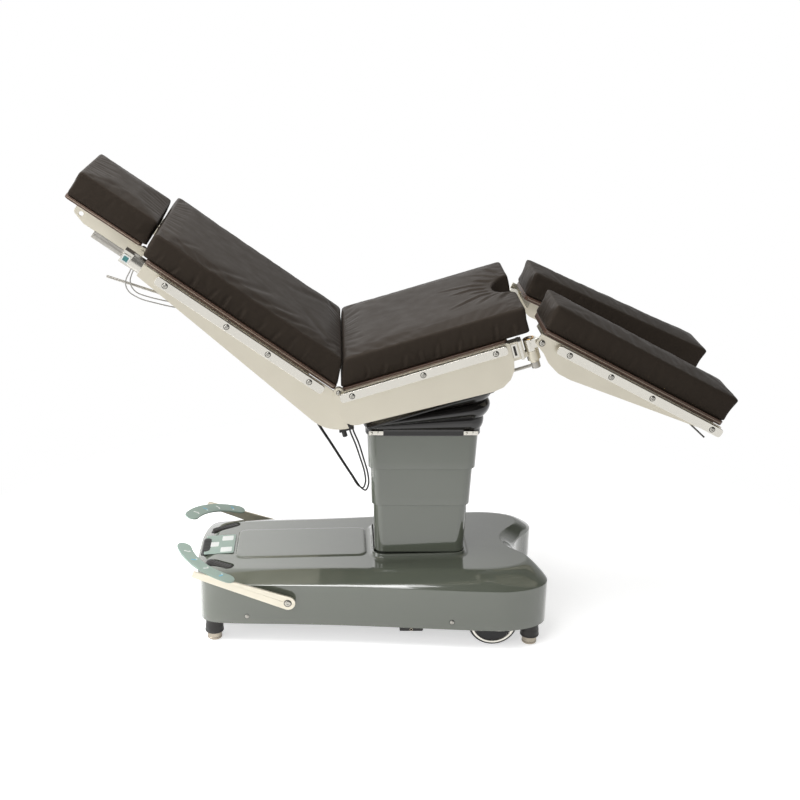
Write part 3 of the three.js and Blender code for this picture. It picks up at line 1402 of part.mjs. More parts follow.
function headFrame() {
  const plateOutline = roundedOutline([
    [headPlateNeck, headPlateTop, headPlateNeck / 2], [headPlateNeck, -headPlateNeck, headPlateNeckCorner],
    [-headPlateShoulder, headPlateBottom, headPlateNeck],
    [-headPlateEnd + headPlateTipSlope, headPlateBottom, headPlateTipCorner],
    [-headPlateEnd, -headPlateNeck, headPlateNeck], [-headPlateEnd, headPlateTop, 0],
  ]);
  const plates = pair((side) => {
    const [y0, y1] = between(side * (headPlateY - plateThickness / 2),
      side * (headPlateY + plateThickness / 2));
    return [upright(plateOutline, y0, y1)];
  });
  const bars = headBarS.map((s) => block([-s - headBarWidth, -headPlateY, headPlateTop - headBarHeight],
    [-s, headPlateY, headPlateTop]));
  const reach = headPlateY + plateThickness + overrun;
  const pinHole = bar([0, -reach, 0], [0, reach, 0], neckPinRadius + runningGap, smallSides);
  const endHole = bar([-headPlateHoleS, -reach, headPlateHoleHeight],
    [-headPlateHoleS, reach, headPlateHoleHeight], headPlateHoleRadius, smallSides);
  return cut(joined(...plates, ...bars), pinHole, endHole);
}

function headBoard() {
  return slab(rectangle(-headPadEnd, -headPadStart, -headPadHalfWidth, headPadHalfWidth, boardCorner),
    headBoardTop - headBoardThickness, headBoardTop);
}

function headPad() {
  const edge = rectangle(-headPadEnd, -headPadStart, -headPadHalfWidth, headPadHalfWidth, padCorner,
    padCornerSteps);
  return pad(edge, headPadBottom, () => headPadThickness,
    leanBetween(-headPadEnd, -headPadStart, 0, -headPadNeckLean));
}

piece(head, 'head_frame', steel, headFrame());
piece(head, 'head_board', board, headBoard());
piece(head, 'head_cushion', padCloth, headPad());

// Leg sections, built for the left side and mirrored for the right
function legFrame() {
  const corners = legPlateShares.map(([along, down, round]) => [
    THREE.MathUtils.lerp(legPlateStart, legPlateEnd, along), legPlateTop - legPlateDepth * down,
      legPlateCorner * round]);
  const plate = upright(roundedOutline(corners), seatPlateInnerY, seatPlateOuterY);
  const low = legPlateTop - legInnerBarHeight;
  const inner = block([legEndBarS[0], legInnerBarY, low],
    [legPadEnd - legEndBarWidth, legInnerBarY + plateThickness, legPlateTop]);
  const ends = legEndBarS.map((s) => block([s, legInnerBarY, low],
    [s + legEndBarWidth, seatPlateInnerY + bite, legPlateTop]));
  const tray = block([legEndBarS[0], legInnerBarY, legPlateTop - trayThickness],
    [legEndBarS[1], seatPlateInnerY + bite, legPlateTop]);
  const angle = radians(legStopAngle);
  const stopZ = legPlateTop - trayThickness;
  const stop = bar([legStopS - legStopLength, legStopY, stopZ],
    [legStopS + legStopLength, legStopY, stopZ - 2 * legStopLength * tan(angle)], legStopRadius, smallSides);
  const pinHole = bar([0, seatPlateInnerY - overrun, 0], [0, seatPlateOuterY + overrun, 0],
    kneePivotRadius + runningGap, smallSides);
  return cut(joined(plate, inner, ...ends, tray, stop), pinHole);
}

function legBoard() {
  return slab(rectangle(legBoardStart, legBoardEnd, legInnerY - boardOverhang, boardHalfWidth, boardCorner),
    legBoardTop - boardThickness, legBoardTop);
}

function legPad() {
  const edge = roundedOutline([
    [legPadStart, legInnerY, padCorner], [legPadEnd, legInnerY, legPadFootCorner],
    [legPadEnd, padHalfWidth, legPadFootCorner], [legPadStart, padHalfWidth, padCorner],
  ], padCornerSteps);
  return pad(edge, legBoardTop + seatGap, () => legPadThickness,
    leanBetween(legPadStart, legPadEnd, legPadKneeLean, legPadFootLean));
}

// Leg side of a knee, in the seat's frame: upper barrel and the lug that carries the leg's pivot
function kneeJoint() {
  const barrel = bar([kneeBarrelS, kneeY, kneeBarrelBottom], [kneeBarrelS, kneeY, kneeBarrelTop],
    kneeBarrelRadius);
  const lugEnd = kneeLugInner + kneeLugThickness;
  const lug = block([kneeBarrelS, kneeLugInner, kneePivotHeight - kneeLugRadius],
    [kneeS, lugEnd, kneePivotHeight + kneeLugRadius]);
  const eye = bar([kneeS, kneeLugInner, kneePivotHeight], [kneeS, lugEnd, kneePivotHeight], kneeLugRadius);
  const pivot = bar([kneeS, lugEnd - bite, kneePivotHeight],
    [kneeS, seatPlateOuterY + seatGap, kneePivotHeight], kneePivotRadius, smallSides);
  const headEnd = seatPlateOuterY + seatGap + plateThickness / 2;
  const cap = bar([kneeS, seatPlateOuterY + seatGap, kneePivotHeight], [kneeS, headEnd, kneePivotHeight],
    kneePivotHead, smallSides);
  const bore = bar([kneeBarrelS, kneeY, kneeBarrelBottom - overrun],
    [kneeBarrelS, kneeY, kneeBarrelTop + overrun], kneePinRadius + runningGap, smallSides);
  return cut(joined(barrel, lug, eye, pivot, cap), bore);
}

function kneeLever() {
  const top = knuckleBottom - kneeNutHeight - seatGap;
  const hub = bar([kneeBarrelS, kneeY, top - kneeHubHeight], [kneeBarrelS, kneeY, top], kneeHubRadius,
    smallSides);
  const middle = top - kneeHubHeight / 2;
  const rod = bar([kneeBarrelS, kneeY, middle], [kneeBarrelS - kneeLeverLength, kneeY, middle],
    kneeLeverRadius, smallSides);
  return joined(hub, rod);
}

Object.entries(sides).forEach(([label, side]) => {
  const leg = legs[label];
  piece(seat, `knee_joint_${label}`, railSteel, kneeJoint(), side);
  piece(seat, `knee_lever_${label}`, darkSteel, kneeLever(), side);
  piece(leg, `leg_frame_${label}`, steel, legFrame(), side);
  piece(leg, `leg_board_${label}`, board, legBoard(), side);
  piece(leg, `leg_cushion_${label}`, padCloth, legPad(), side);
  piece(leg, `leg_rail_${label}`, railSteel,
    rail(legRailStart, legRailEnd, legRailTop, legRailScrewShares, seatPlateOuterY), side);
});

// Cables along their routes
function cord(points, radius) {
  const curve = new THREE.CatmullRomCurve3(points.map((p) => new THREE.Vector3(...p)), false, 'centripetal');
  const ring = Array.from({ length: cordSides }, (_, i) => {
    const angle = 2 * PI * i / cordSides;
    return new THREE.Vector2(radius * cos(angle), radius * sin(angle));
  });
  const steps = Math.round(curve.getLength() / (2 * radius * cordStep));
  return new THREE.ExtrudeGeometry(new THREE.Shape(ring),
    { extrudePath: curve, steps, bevelEnabled: false });
}

Object.entries(blackCableRoutes).forEach(([name, route]) => piece(tableFrame, name, blackPlastic,
  cord(route, blackCableRadius)));
Object.entries(greyCableRoutes).forEach(([name, route]) => piece(tableFrame, name, greyPlastic,
  cord(route, greyCableRadius)));

// The origin lies under the middle of the table's length
tableFrame.updateMatrixWorld(true);
const extent = new THREE.Box3().setFromObject(tableFrame, true);
tableFrame.position.x = -(extent.min.x + extent.max.x) / 2;

export default table;
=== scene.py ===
"""Operating table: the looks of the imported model, laid out as a Blender add-on."""

import json
from math import asin, cos, pi, radians, sin, tan

import bmesh
import bpy
import numpy as np
from mathutils import Matrix, Vector

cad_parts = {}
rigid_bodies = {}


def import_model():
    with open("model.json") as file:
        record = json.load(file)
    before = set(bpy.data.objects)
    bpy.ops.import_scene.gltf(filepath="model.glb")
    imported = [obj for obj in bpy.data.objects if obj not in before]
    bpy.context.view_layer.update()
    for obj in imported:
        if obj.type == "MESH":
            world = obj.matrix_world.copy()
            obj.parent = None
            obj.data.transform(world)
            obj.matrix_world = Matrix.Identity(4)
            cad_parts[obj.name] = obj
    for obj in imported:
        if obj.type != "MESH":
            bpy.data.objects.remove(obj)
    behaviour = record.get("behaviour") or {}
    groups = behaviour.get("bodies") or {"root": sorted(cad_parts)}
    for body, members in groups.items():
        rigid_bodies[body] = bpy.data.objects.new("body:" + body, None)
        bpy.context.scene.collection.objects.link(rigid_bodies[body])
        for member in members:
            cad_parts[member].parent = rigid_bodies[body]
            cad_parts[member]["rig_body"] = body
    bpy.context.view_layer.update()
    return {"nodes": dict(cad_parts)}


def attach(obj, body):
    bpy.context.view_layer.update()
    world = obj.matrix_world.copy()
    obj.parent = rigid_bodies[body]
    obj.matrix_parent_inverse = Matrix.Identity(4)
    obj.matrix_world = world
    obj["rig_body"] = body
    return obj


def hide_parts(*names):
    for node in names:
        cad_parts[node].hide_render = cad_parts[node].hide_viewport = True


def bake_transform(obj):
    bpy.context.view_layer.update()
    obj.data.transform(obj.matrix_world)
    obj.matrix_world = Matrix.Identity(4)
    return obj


bl_info = {
    "name": "Operating table",
    "version": (1, 0, 0),
    "blender": (4, 5, 0),
    "location": "3D View > Sidebar > Operating table",
    "description": "Dresses the packed model of an operating table with its pads, covers, fittings and finishes",
    "category": "Add Mesh",
}

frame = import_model()

# Where each section stands: X along the section, Z its normal
TABLE_X = -0.078489
HIP = (-0.1023, 0.8125)
SEAT_ANGLE, BACK_ANGLE, HEAD_ANGLE = 17.4, 35.3, 34.6
LEG_ANGLE = {"right": 27.8, "left": 24.5}
NECK = (-0.645, -0.014)
KNEE = (0.562, -0.027)
SIDES = {"right": -1, "left": 1}


def section(x, z, angle, inside=None):
    """The place of a section that hangs at x, z of another one and is turned about Y."""
    outer = inside if inside is not None else Matrix.Translation((TABLE_X, 0, 0))
    return outer @ Matrix.Translation((x, 0, z)) @ Matrix.Rotation(radians(angle), 4, "Y")


BASE = section(0, 0, 0)
SEAT = section(*HIP, -SEAT_ANGLE)
BACK = section(*HIP, BACK_ANGLE)
HEAD = section(*NECK, HEAD_ANGLE - BACK_ANGLE, BACK)
LEG = {side: section(*KNEE, angle + SEAT_ANGLE, SEAT) for side, angle in LEG_ANGLE.items()}
PLACES = {"seat": SEAT, "back": BACK, "grip_r": BACK, "grip_l": BACK, "lever": BACK, "head": HEAD,
          **{f"{part}_{side[0]}": LEG[side] for part in ("leg", "knee", "knee_lever") for side in LEG_ANGLE}}
SEAT_IN_BASE = BASE.inverted() @ SEAT
MIRROR = Matrix.Scale(-1, 4, (0, 1, 0))
TURNS = {"right": MIRROR, "left": Matrix()}
NORMAL_WEIGHT = 80


class PadSettings(bpy.types.PropertyGroup):
    voxel: bpy.props.FloatProperty(
        name="Mesh size", description="Size of the faces that the pads are made of",
        default=0.005, min=0.003, max=0.02, unit="LENGTH")
    crown: bpy.props.FloatProperty(
        name="Crown", description="How far the middle of a pad rises over its edges",
        default=0.006, min=0, max=0.02, unit="LENGTH")
    crease_depth: bpy.props.FloatProperty(
        name="Crease depth", description="Depth of the gathers along the sides",
        default=0.0042, min=0, max=0.008, unit="LENGTH")
    crease_step: bpy.props.FloatProperty(
        name="Crease spacing", description="Distance from one gather to the next",
        default=0.052, min=0.01, max=0.2, unit="LENGTH")


class FinishSettings(bpy.types.PropertyGroup):
    paint: bpy.props.FloatVectorProperty(
        name="Enamel", description="Colour of the base and the column covers",
        subtype="COLOR", size=3, min=0, max=1, default=(0.112, 0.124, 0.096))
    plate: bpy.props.FloatVectorProperty(
        name="Satin plate", description="Colour of the side plates",
        subtype="COLOR", size=3, min=0, max=1, default=(0.71, 0.665, 0.555))
    rail: bpy.props.FloatVectorProperty(
        name="Bright bar", description="Colour of rails, sockets and knee joints",
        subtype="COLOR", size=3, min=0, max=1, default=(0.74, 0.715, 0.65))
    cloth: bpy.props.FloatVectorProperty(
        name="Pad cover", description="Colour of the pad covers",
        subtype="COLOR", size=3, min=0, max=1, default=(0.0325, 0.0255, 0.0200))
    board: bpy.props.FloatVectorProperty(
        name="Board", description="Colour of the boards under the pads",
        subtype="COLOR", size=3, min=0, max=1, default=(0.085, 0.048, 0.033))
    rubber: bpy.props.FloatVectorProperty(
        name="Bellows", description="Colour of the bellows and boots",
        subtype="COLOR", size=3, min=0, max=1, default=(0.008, 0.0066, 0.0056))
    pedal: bpy.props.FloatVectorProperty(
        name="Pedal plate", description="Colour of the pedal plates and the name plate",
        subtype="COLOR", size=3, min=0, max=1, default=(0.31, 0.40, 0.35))


class DetailSettings(bpy.types.PropertyGroup):
    plate_bevel: bpy.props.FloatProperty(
        name="Plate edge", description="Rounding of the edges of plates and bars",
        default=0.0009, min=0.0002, max=0.004, unit="LENGTH")
    screw_radius: bpy.props.FloatProperty(
        name="Screw head", description="Radius of the rail screws",
        default=0.0068, min=0.002, max=0.015, unit="LENGTH")
    bellows_folds: bpy.props.IntProperty(
        name="Bellows rings", description="Rings of faces that the bellows are made of",
        default=72, min=20, max=200)


def settings():
    return bpy.context.scene.operating_table


# Small tools for modelling
def clean_start():
    if bpy.context.object and bpy.context.object.mode != "OBJECT":
        bpy.ops.object.mode_set(mode="OBJECT")
    bpy.ops.object.select_all(action="DESELECT")


def activate(*objs):
    clean_start()
    for obj in objs:
        obj.select_set(True)
    bpy.context.view_layer.objects.active = objs[0]


def named(name):
    obj = bpy.context.object
    obj.name = obj.data.name = name
    return obj


def add_box(name, one, other):
    """A box between two opposite corners, whichever way round they are."""
    clean_start()
    low, high = (Vector([pick(a, b) for a, b in zip(one, other)]) for pick in (min, max))
    bpy.ops.mesh.primitive_cube_add(size=1, location=(low + high) / 2, scale=high - low)
    bpy.ops.object.transform_apply(location=True, rotation=True, scale=True)
    return named(name)


def edited(obj, *steps):
    """Runs the steps on the whole mesh, in edit mode."""
    activate(obj)
    bpy.ops.object.mode_set(mode="EDIT")
    bpy.ops.mesh.select_mode(type="FACE")
    bpy.ops.mesh.select_all(action="SELECT")
    for step in steps:
        step()
    bpy.ops.object.mode_set(mode="OBJECT")
    return obj


def modify(obj, kind, **values):
    activate(obj)
    modifier = obj.modifiers.new(kind.title(), kind)
    for key, value in values.items():
        setattr(modifier, key, value)
    bpy.ops.object.modifier_apply(modifier=modifier.name)
    return obj


def bevelled(obj, width, segments=2, angle=35):
    return modify(obj, "BEVEL", width=width, segments=segments, limit_method="ANGLE",
                  angle_limit=radians(angle), use_clamp_overlap=True)


def joined(name, objs):
    activate(*objs)
    bpy.ops.object.join()
    return named(name)


def copied(obj, name, matrix):
    """A twin that is moved or mirrored, with its faces still outward."""
    twin = bpy.data.objects.new(name, obj.data.copy())
    bpy.context.scene.collection.objects.link(twin)
    twin.data.name = name
    twin.data.transform(matrix)
    if matrix.determinant() < 0:
        twin.data.flip_normals()
    return twin


def coated(obj, material):
    obj.data.materials.append(bpy.data.materials[material])
    return obj


def keep_section_place(obj, place):
    """Notes where each point lies in its own section, for grain that runs along the section."""
    back = np.array(place.inverted())
    spots = coordinates(obj) @ back[:3, :3].T + back[:3, 3]
    noted = obj.data.attributes.new("section_place", "FLOAT_VECTOR", "POINT")
    noted.data.foreach_set("vector", spots.astype(np.float32).ravel())


def finished(obj, body, material, place=None, smooth=35, stands_for=()):
    """Puts a piece in its section, gives it its finish and its body, and hides the nodes that it stands for."""
    if place is not None:
        obj.data.transform(place)
    keep_section_place(obj, PLACES.get(body, BASE))
    if material:
        obj.data.materials.clear()
        coated(obj, material)
    activate(obj)
    if smooth:
        bpy.ops.object.shade_smooth_by_angle(angle=radians(smooth))
        modify(obj, "WEIGHTED_NORMAL", keep_sharp=True, weight=NORMAL_WEIGHT)
    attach(obj, body)
    if stands_for:
        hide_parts(*stands_for)
    return obj


def ring_of(points, height):
    return [Vector((*point, height)) for point in points]


def arc(radius, start, end, steps, centre=(0, 0)):
    """The points of an arc about a centre, with both of its ends."""
    turns = (start + (end - start) * k / steps for k in range(steps + 1))
    return [(centre[0] + radius * cos(turn), centre[1] + radius * sin(turn)) for turn in turns]


def circle(radius, sides=40):
    return arc(radius, 0, 2 * pi, sides)[:-1]


def lofted(name, rings, caps=(True, True)):
    """A circle laid on the first ring and extruded through the others."""
    clean_start()
    bpy.ops.mesh.primitive_circle_add(vertices=len(rings[0]), radius=1, fill_type="NOTHING")
    obj = named(name)
    bpy.ops.object.mode_set(mode="EDIT")
    bpy.ops.mesh.select_mode(type="VERT")
    mesh = bmesh.from_edit_mesh(obj.data)
    row = list(mesh.verts)
    for vertex, point in zip(row, rings[0]):
        vertex.co = point
    if caps[0]:
        mesh.faces.new(list(reversed(row)))
    for ring in rings[1:]:
        for part in (*mesh.verts, *mesh.edges, *mesh.faces):
            part.select = False
        edges = [a.link_edges for a in row]
        for k, vertex in enumerate(row):
            vertex.select = True
            following = row[(k + 1) % len(row)]
            for edge in edges[k]:
                if edge.other_vert(vertex) is following:
                    edge.select = True
        bpy.ops.mesh.extrude_edges_move()
        mesh = bmesh.from_edit_mesh(obj.data)
        old = set(row)
        row = [next(e.other_vert(v) for e in v.link_edges if e.other_vert(v).select) for v in row]
        if any(v in old for v in row):
            raise RuntimeError(f"{name}: a ring wasn't extruded")
        for vertex, point in zip(row, ring):
            vertex.co = point
    if caps[1]:
        mesh.faces.new(row)
    bpy.ops.mesh.select_all(action="SELECT")
    bpy.ops.mesh.normals_make_consistent(inside=False)
    bpy.ops.object.mode_set(mode="OBJECT")
    return obj


def standing(spot, along):
    """The place of a piece that stands at a spot and points along an axis."""
    return Matrix.Translation(spot) @ Vector(along).to_track_quat("Z", "Y").to_matrix().to_4x4()


def turned(name, profile, start=(0, 0, 0), along=(0, 0, 1), sides=40, caps=(True, True)):
    """A round piece from [radius, height] points, standing at start and pointing along an axis."""
    obj = lofted(name, [ring_of(circle(r, sides), z) for r, z in profile], caps)
    obj.data.transform(standing(start, along))
    return obj


def rounded(corners, steps=8):
    """A closed outline whose corners (x, y, radius) are rounded."""
    outline = []
    for k, (x, y, radius) in enumerate(corners):
        here = Vector((x, y))
        last, following = corners[k - 1], corners[(k + 1) % len(corners)]
        back = (Vector(last[:2]) - here).normalized()
        ahead = (Vector(following[:2]) - here).normalized()
        if not radius:
            outline.append(tuple(here))
            continue
        half = back.angle(ahead) / 2
        centre = here + (back + ahead).normalized() * radius / sin(half)
        start = here + back * radius / tan(half) - centre
        end = here + ahead * radius / tan(half) - centre
        turn = start.angle_signed(end) * -1
        for step in range(steps + 1):
            spun = Matrix.Rotation(turn * step / steps, 2) @ start
            outline.append(tuple(centre + spun))
    return outline


def rectangle(x0, x1, y0, y1, radius, steps=8):
    return rounded([(x0, y0, radius), (x1, y0, radius), (x1, y1, radius), (x0, y1, radius)], steps)


def upright(name, outline, y0, y1):
    """A plate from an outline in X and Z, with its thickness along Y."""
    return lofted(name, [[Vector((x, y, z)) for x, z in outline] for y in (y0, y1)])


def flat_plate(name, outline, z0, z1):
    return lofted(name, [ring_of(outline, z0), ring_of(outline, z1)])


def drawn_in(points, length_loss, width_loss=None):
    """Draws an outline in toward the middle of its box."""
    width_loss = length_loss if width_loss is None else width_loss
    xs, ys = [p[0] for p in points], [p[1] for p in points]
    cx, cy = (min(xs) + max(xs)) / 2, (min(ys) + max(ys)) / 2
    sx = 1 - 2 * length_loss / (max(xs) - min(xs))
    sy = 1 - 2 * width_loss / (max(ys) - min(ys))
    return [(cx + (x - cx) * sx, cy + (y - cy) * sy) for x, y in points]


def smooth_points(points, per_span, closed=False):
    """Points on a centripetal Catmull-Rom curve through the given ones."""
    points = [Vector(p) for p in points]
    count = len(points)
    spans = count if closed else count - 1
    found = []
    for i in range(spans):
        if closed:
            p0, p1, p2, p3 = (points[(i + k) % count] for k in (-1, 0, 1, 2))
        else:
            p1, p2 = points[i], points[i + 1]
            p0 = points[i - 1] if i > 0 else p1 * 2 - p2
            p3 = points[i + 2] if i + 2 < count else p2 * 2 - p1
        t1 = max((p1 - p0).length ** 0.5, 1e-9)
        t2 = t1 + max((p2 - p1).length ** 0.5, 1e-9)
        t3 = t2 + max((p3 - p2).length ** 0.5, 1e-9)
        for k in range(per_span):
            t = t1 + (t2 - t1) * k / per_span
            a1 = p0 * ((t1 - t) / t1) + p1 * (t / t1)
            a2 = p1 * ((t2 - t) / (t2 - t1)) + p2 * ((t - t1) / (t2 - t1))
            a3 = p2 * ((t3 - t) / (t3 - t2)) + p3 * ((t - t2) / (t3 - t2))
            b1 = a1 * ((t2 - t) / t2) + a2 * (t / t2)
            b2 = a2 * ((t3 - t) / (t3 - t1)) + a3 * ((t - t1) / (t3 - t1))
            found.append(b1 * ((t2 - t) / (t2 - t1)) + b2 * ((t - t1) / (t2 - t1)))
    if not closed:
        found.append(points[-1])
    return found


def tube(name, points, radius, sides=12):
    """A curve with a round section along the points, made a mesh."""
    clean_start()
    curve = bpy.data.curves.new(name, "CURVE")
    curve.dimensions = "3D"
    spline = curve.splines.new("POLY")
    spline.points.add(len(points) - 1)
    for spot, point in zip(spline.points, points):
        spot.co = (*point, 1)
    curve.bevel_depth = radius
    curve.bevel_resolution = sides // 4 - 1
    curve.use_fill_caps = True
    obj = bpy.data.objects.new(name, curve)
    bpy.context.scene.collection.objects.link(obj)
    activate(obj)
    bpy.ops.object.convert(target="MESH")
    return named(name)


def dressed(name, material, bevel=None, segments=2):
    """A merged copy of a CAD node with rounded edges, which stands for the node."""
    source = frame["nodes"][name]
    obj = bpy.data.objects.new(f"{name}_piece", source.data.copy())
    bpy.context.scene.collection.objects.link(obj)
    edited(obj, lambda: bpy.ops.mesh.remove_doubles(threshold=1e-5),
           lambda: bpy.ops.mesh.dissolve_limited(angle_limit=radians(0.6)))
    bevelled(obj, bevel or settings().details.plate_bevel, segments)
    return finished(obj, source["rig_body"], material, stands_for=(name,))


# Materials
def node(tree, kind, inputs=None, **values):
    """A shader node with its settings, and each input either a value or another node's socket."""
    made = tree.nodes.new(kind)
    for key, value in values.items():
        setattr(made, key, value)
    for key, value in (inputs or {}).items():
        socket = made.inputs[key]
        if isinstance(value, bpy.types.NodeSocket):
            tree.links.new(value, socket)
        else:
            socket.default_value = value
    return made


def shared_group(name, output, **inputs):
    """A node group that takes a place and the named values, and gives one number."""
    group = bpy.data.node_groups.new(name, "ShaderNodeTree")
    group.interface.new_socket("Vector", in_out="INPUT", socket_type="NodeSocketVector")
    for label, value in inputs.items():
        kind = "NodeSocketVector" if isinstance(value, tuple) else "NodeSocketFloat"
        group.interface.new_socket(label, in_out="INPUT", socket_type=kind).default_value = value
    group.interface.new_socket(output, in_out="OUTPUT", socket_type="NodeSocketFloat")
    return group, node(group, "NodeGroupInput").outputs, node(group, "NodeGroupOutput").inputs[output]


def arithmetic(tree, operation, first, second):
    return node(tree, "ShaderNodeMath", {0: first, 1: second}, operation=operation).outputs[0]


def mixed(tree, factor, first, second):
    return node(tree, "ShaderNodeMix", {0: factor, 6: first, 7: second}, data_type="RGBA").outputs[2]


def noise(tree, place, scale, detail, roughness=0.5):
    return node(tree, "ShaderNodeTexNoise", {"Vector": place, "Scale": scale, "Detail": detail,
                                            "Roughness": roughness}).outputs["Fac"]


def ramp(tree, value, start, end, low=0.0, high=1.0, **more):
    """Carries a value's range from start to end over to the range from low to high."""
    return node(tree, "ShaderNodeMapRange", {"Value": value, "From Min": start, "From Max": end,
                                            "To Min": low, "To Max": high}, **more).outputs[0]


def make_groups():
    """The effects that several materials share."""
    group, given, out = shared_group("Mottle", "Mask", Scale=8.0, Contrast=1.0)
    broad = arithmetic(group, "SUBTRACT", noise(group, given["Vector"], given["Scale"], 4.0, 0.6), 0.5)
    spread = arithmetic(group, "MULTIPLY", broad, given["Contrast"])
    group.links.new(arithmetic(group, "ADD", spread, 0.5), out)

    group, given, out = shared_group("Edge wear", "Mask", Amount=1.0, Scale=60.0)
    edge = ramp(group, node(group, "ShaderNodeNewGeometry").outputs["Pointiness"], 0.52, 0.62)
    broken = arithmetic(group, "MULTIPLY", edge, noise(group, given["Vector"], given["Scale"], 6.0))
    group.links.new(arithmetic(group, "MULTIPLY", broken, given["Amount"]), out)

    group, given, out = shared_group("Brushed", "Height", Stretch=(1.0, 40.0, 40.0), Scale=30.0)
    long = node(group, "ShaderNodeVectorMath", {0: given["Vector"], 1: given["Stretch"]}, operation="MULTIPLY")
    group.links.new(noise(group, long.outputs[0], given["Scale"], 3.0), out)

    group, given, out = shared_group("Coated cloth", "Height", Scale=900.0)
    cells = node(group, "ShaderNodeTexVoronoi", {"Vector": given["Vector"], "Scale": given["Scale"]},
                 feature="SMOOTH_F1").outputs["Distance"]
    group.links.new(arithmetic(group, "ADD", cells, noise(group, given["Vector"], given["Scale"], 2.0)), out)

    group, given, out = shared_group("Dust", "Mask", Amount=0.2)
    normal = node(group, "ShaderNodeNewGeometry").outputs["Normal"]
    lying = ramp(group, node(group, "ShaderNodeSeparateXYZ", {0: normal}).outputs["Z"], 0.3, 1.0)
    specks = arithmetic(group, "MULTIPLY", lying, noise(group, given["Vector"], 45.0, 8.0, 0.7))
    group.links.new(arithmetic(group, "MULTIPLY", specks, given["Amount"]), out)


def use(tree, group, **inputs):
    return node(tree, "ShaderNodeGroup", inputs, node_tree=bpy.data.node_groups[group]).outputs[0]


def shade(color, factor):
    return (*(min(1.0, c * factor) for c in color), 1.0)


def new_material(name, color, roughness, metallic=0.0, vary=0.12, vary_scale=6.0, spread=0.08,
                 height=None, bump=0.0002, bump_strength=0.3, wear=0.0, dust=0.0, worn=None, **shader):
    """A finish with mottled colour and roughness, a fine surface, worn edges and a little dust."""
    material = bpy.data.materials.new(name)
    material.use_nodes = True
    tree = material.node_tree
    surface = tree.nodes["Principled BSDF"]
    place = node(tree, "ShaderNodeAttribute", attribute_name="section_place").outputs["Vector"]
    mottle = use(tree, "Mottle", Vector=place, Scale=vary_scale, Contrast=2.0)
    tone = mixed(tree, mottle, shade(color, 1 - vary), shade(color, 1 + vary))
    if wear:
        mask = use(tree, "Edge wear", Vector=place, Amount=wear, Scale=90.0)
        tone = mixed(tree, mask, tone, shade(worn or color, 1.0 if worn else 1.6))
    if dust:
        mask = use(tree, "Dust", Vector=place, Amount=dust)
        tone = mixed(tree, mask, tone, (0.55, 0.53, 0.50, 1.0))
    tree.links.new(tone, surface.inputs["Base Color"])
    fine = use(tree, "Mottle", Vector=place, Scale=vary_scale * 7, Contrast=2.0)
    rough = ramp(tree, fine, 0.0, 1.0, roughness - spread, roughness + spread)
    tree.links.new(rough, surface.inputs["Roughness"])
    surface.inputs["Metallic"].default_value = metallic
    for key, value in shader.items():
        surface.inputs[key.replace("_", " ")].default_value = value
    if height:
        group, values = height
        relief = use(tree, group, Vector=place, **values)
        normal = node(tree, "ShaderNodeBump", {"Height": relief, "Distance": bump,
                                              "Strength": bump_strength}).outputs[0]
        tree.links.new(normal, surface.inputs["Normal"])
    return material


WARM_SHINE = (1.0, 0.86, 0.74, 1.0)


def mottled(scale, contrast=1.0):
    return "Mottle", {"Scale": scale, "Contrast": contrast}


def brushed(stretch, scale):
    return "Brushed", {"Stretch": (1.0, stretch, stretch), "Scale": scale}


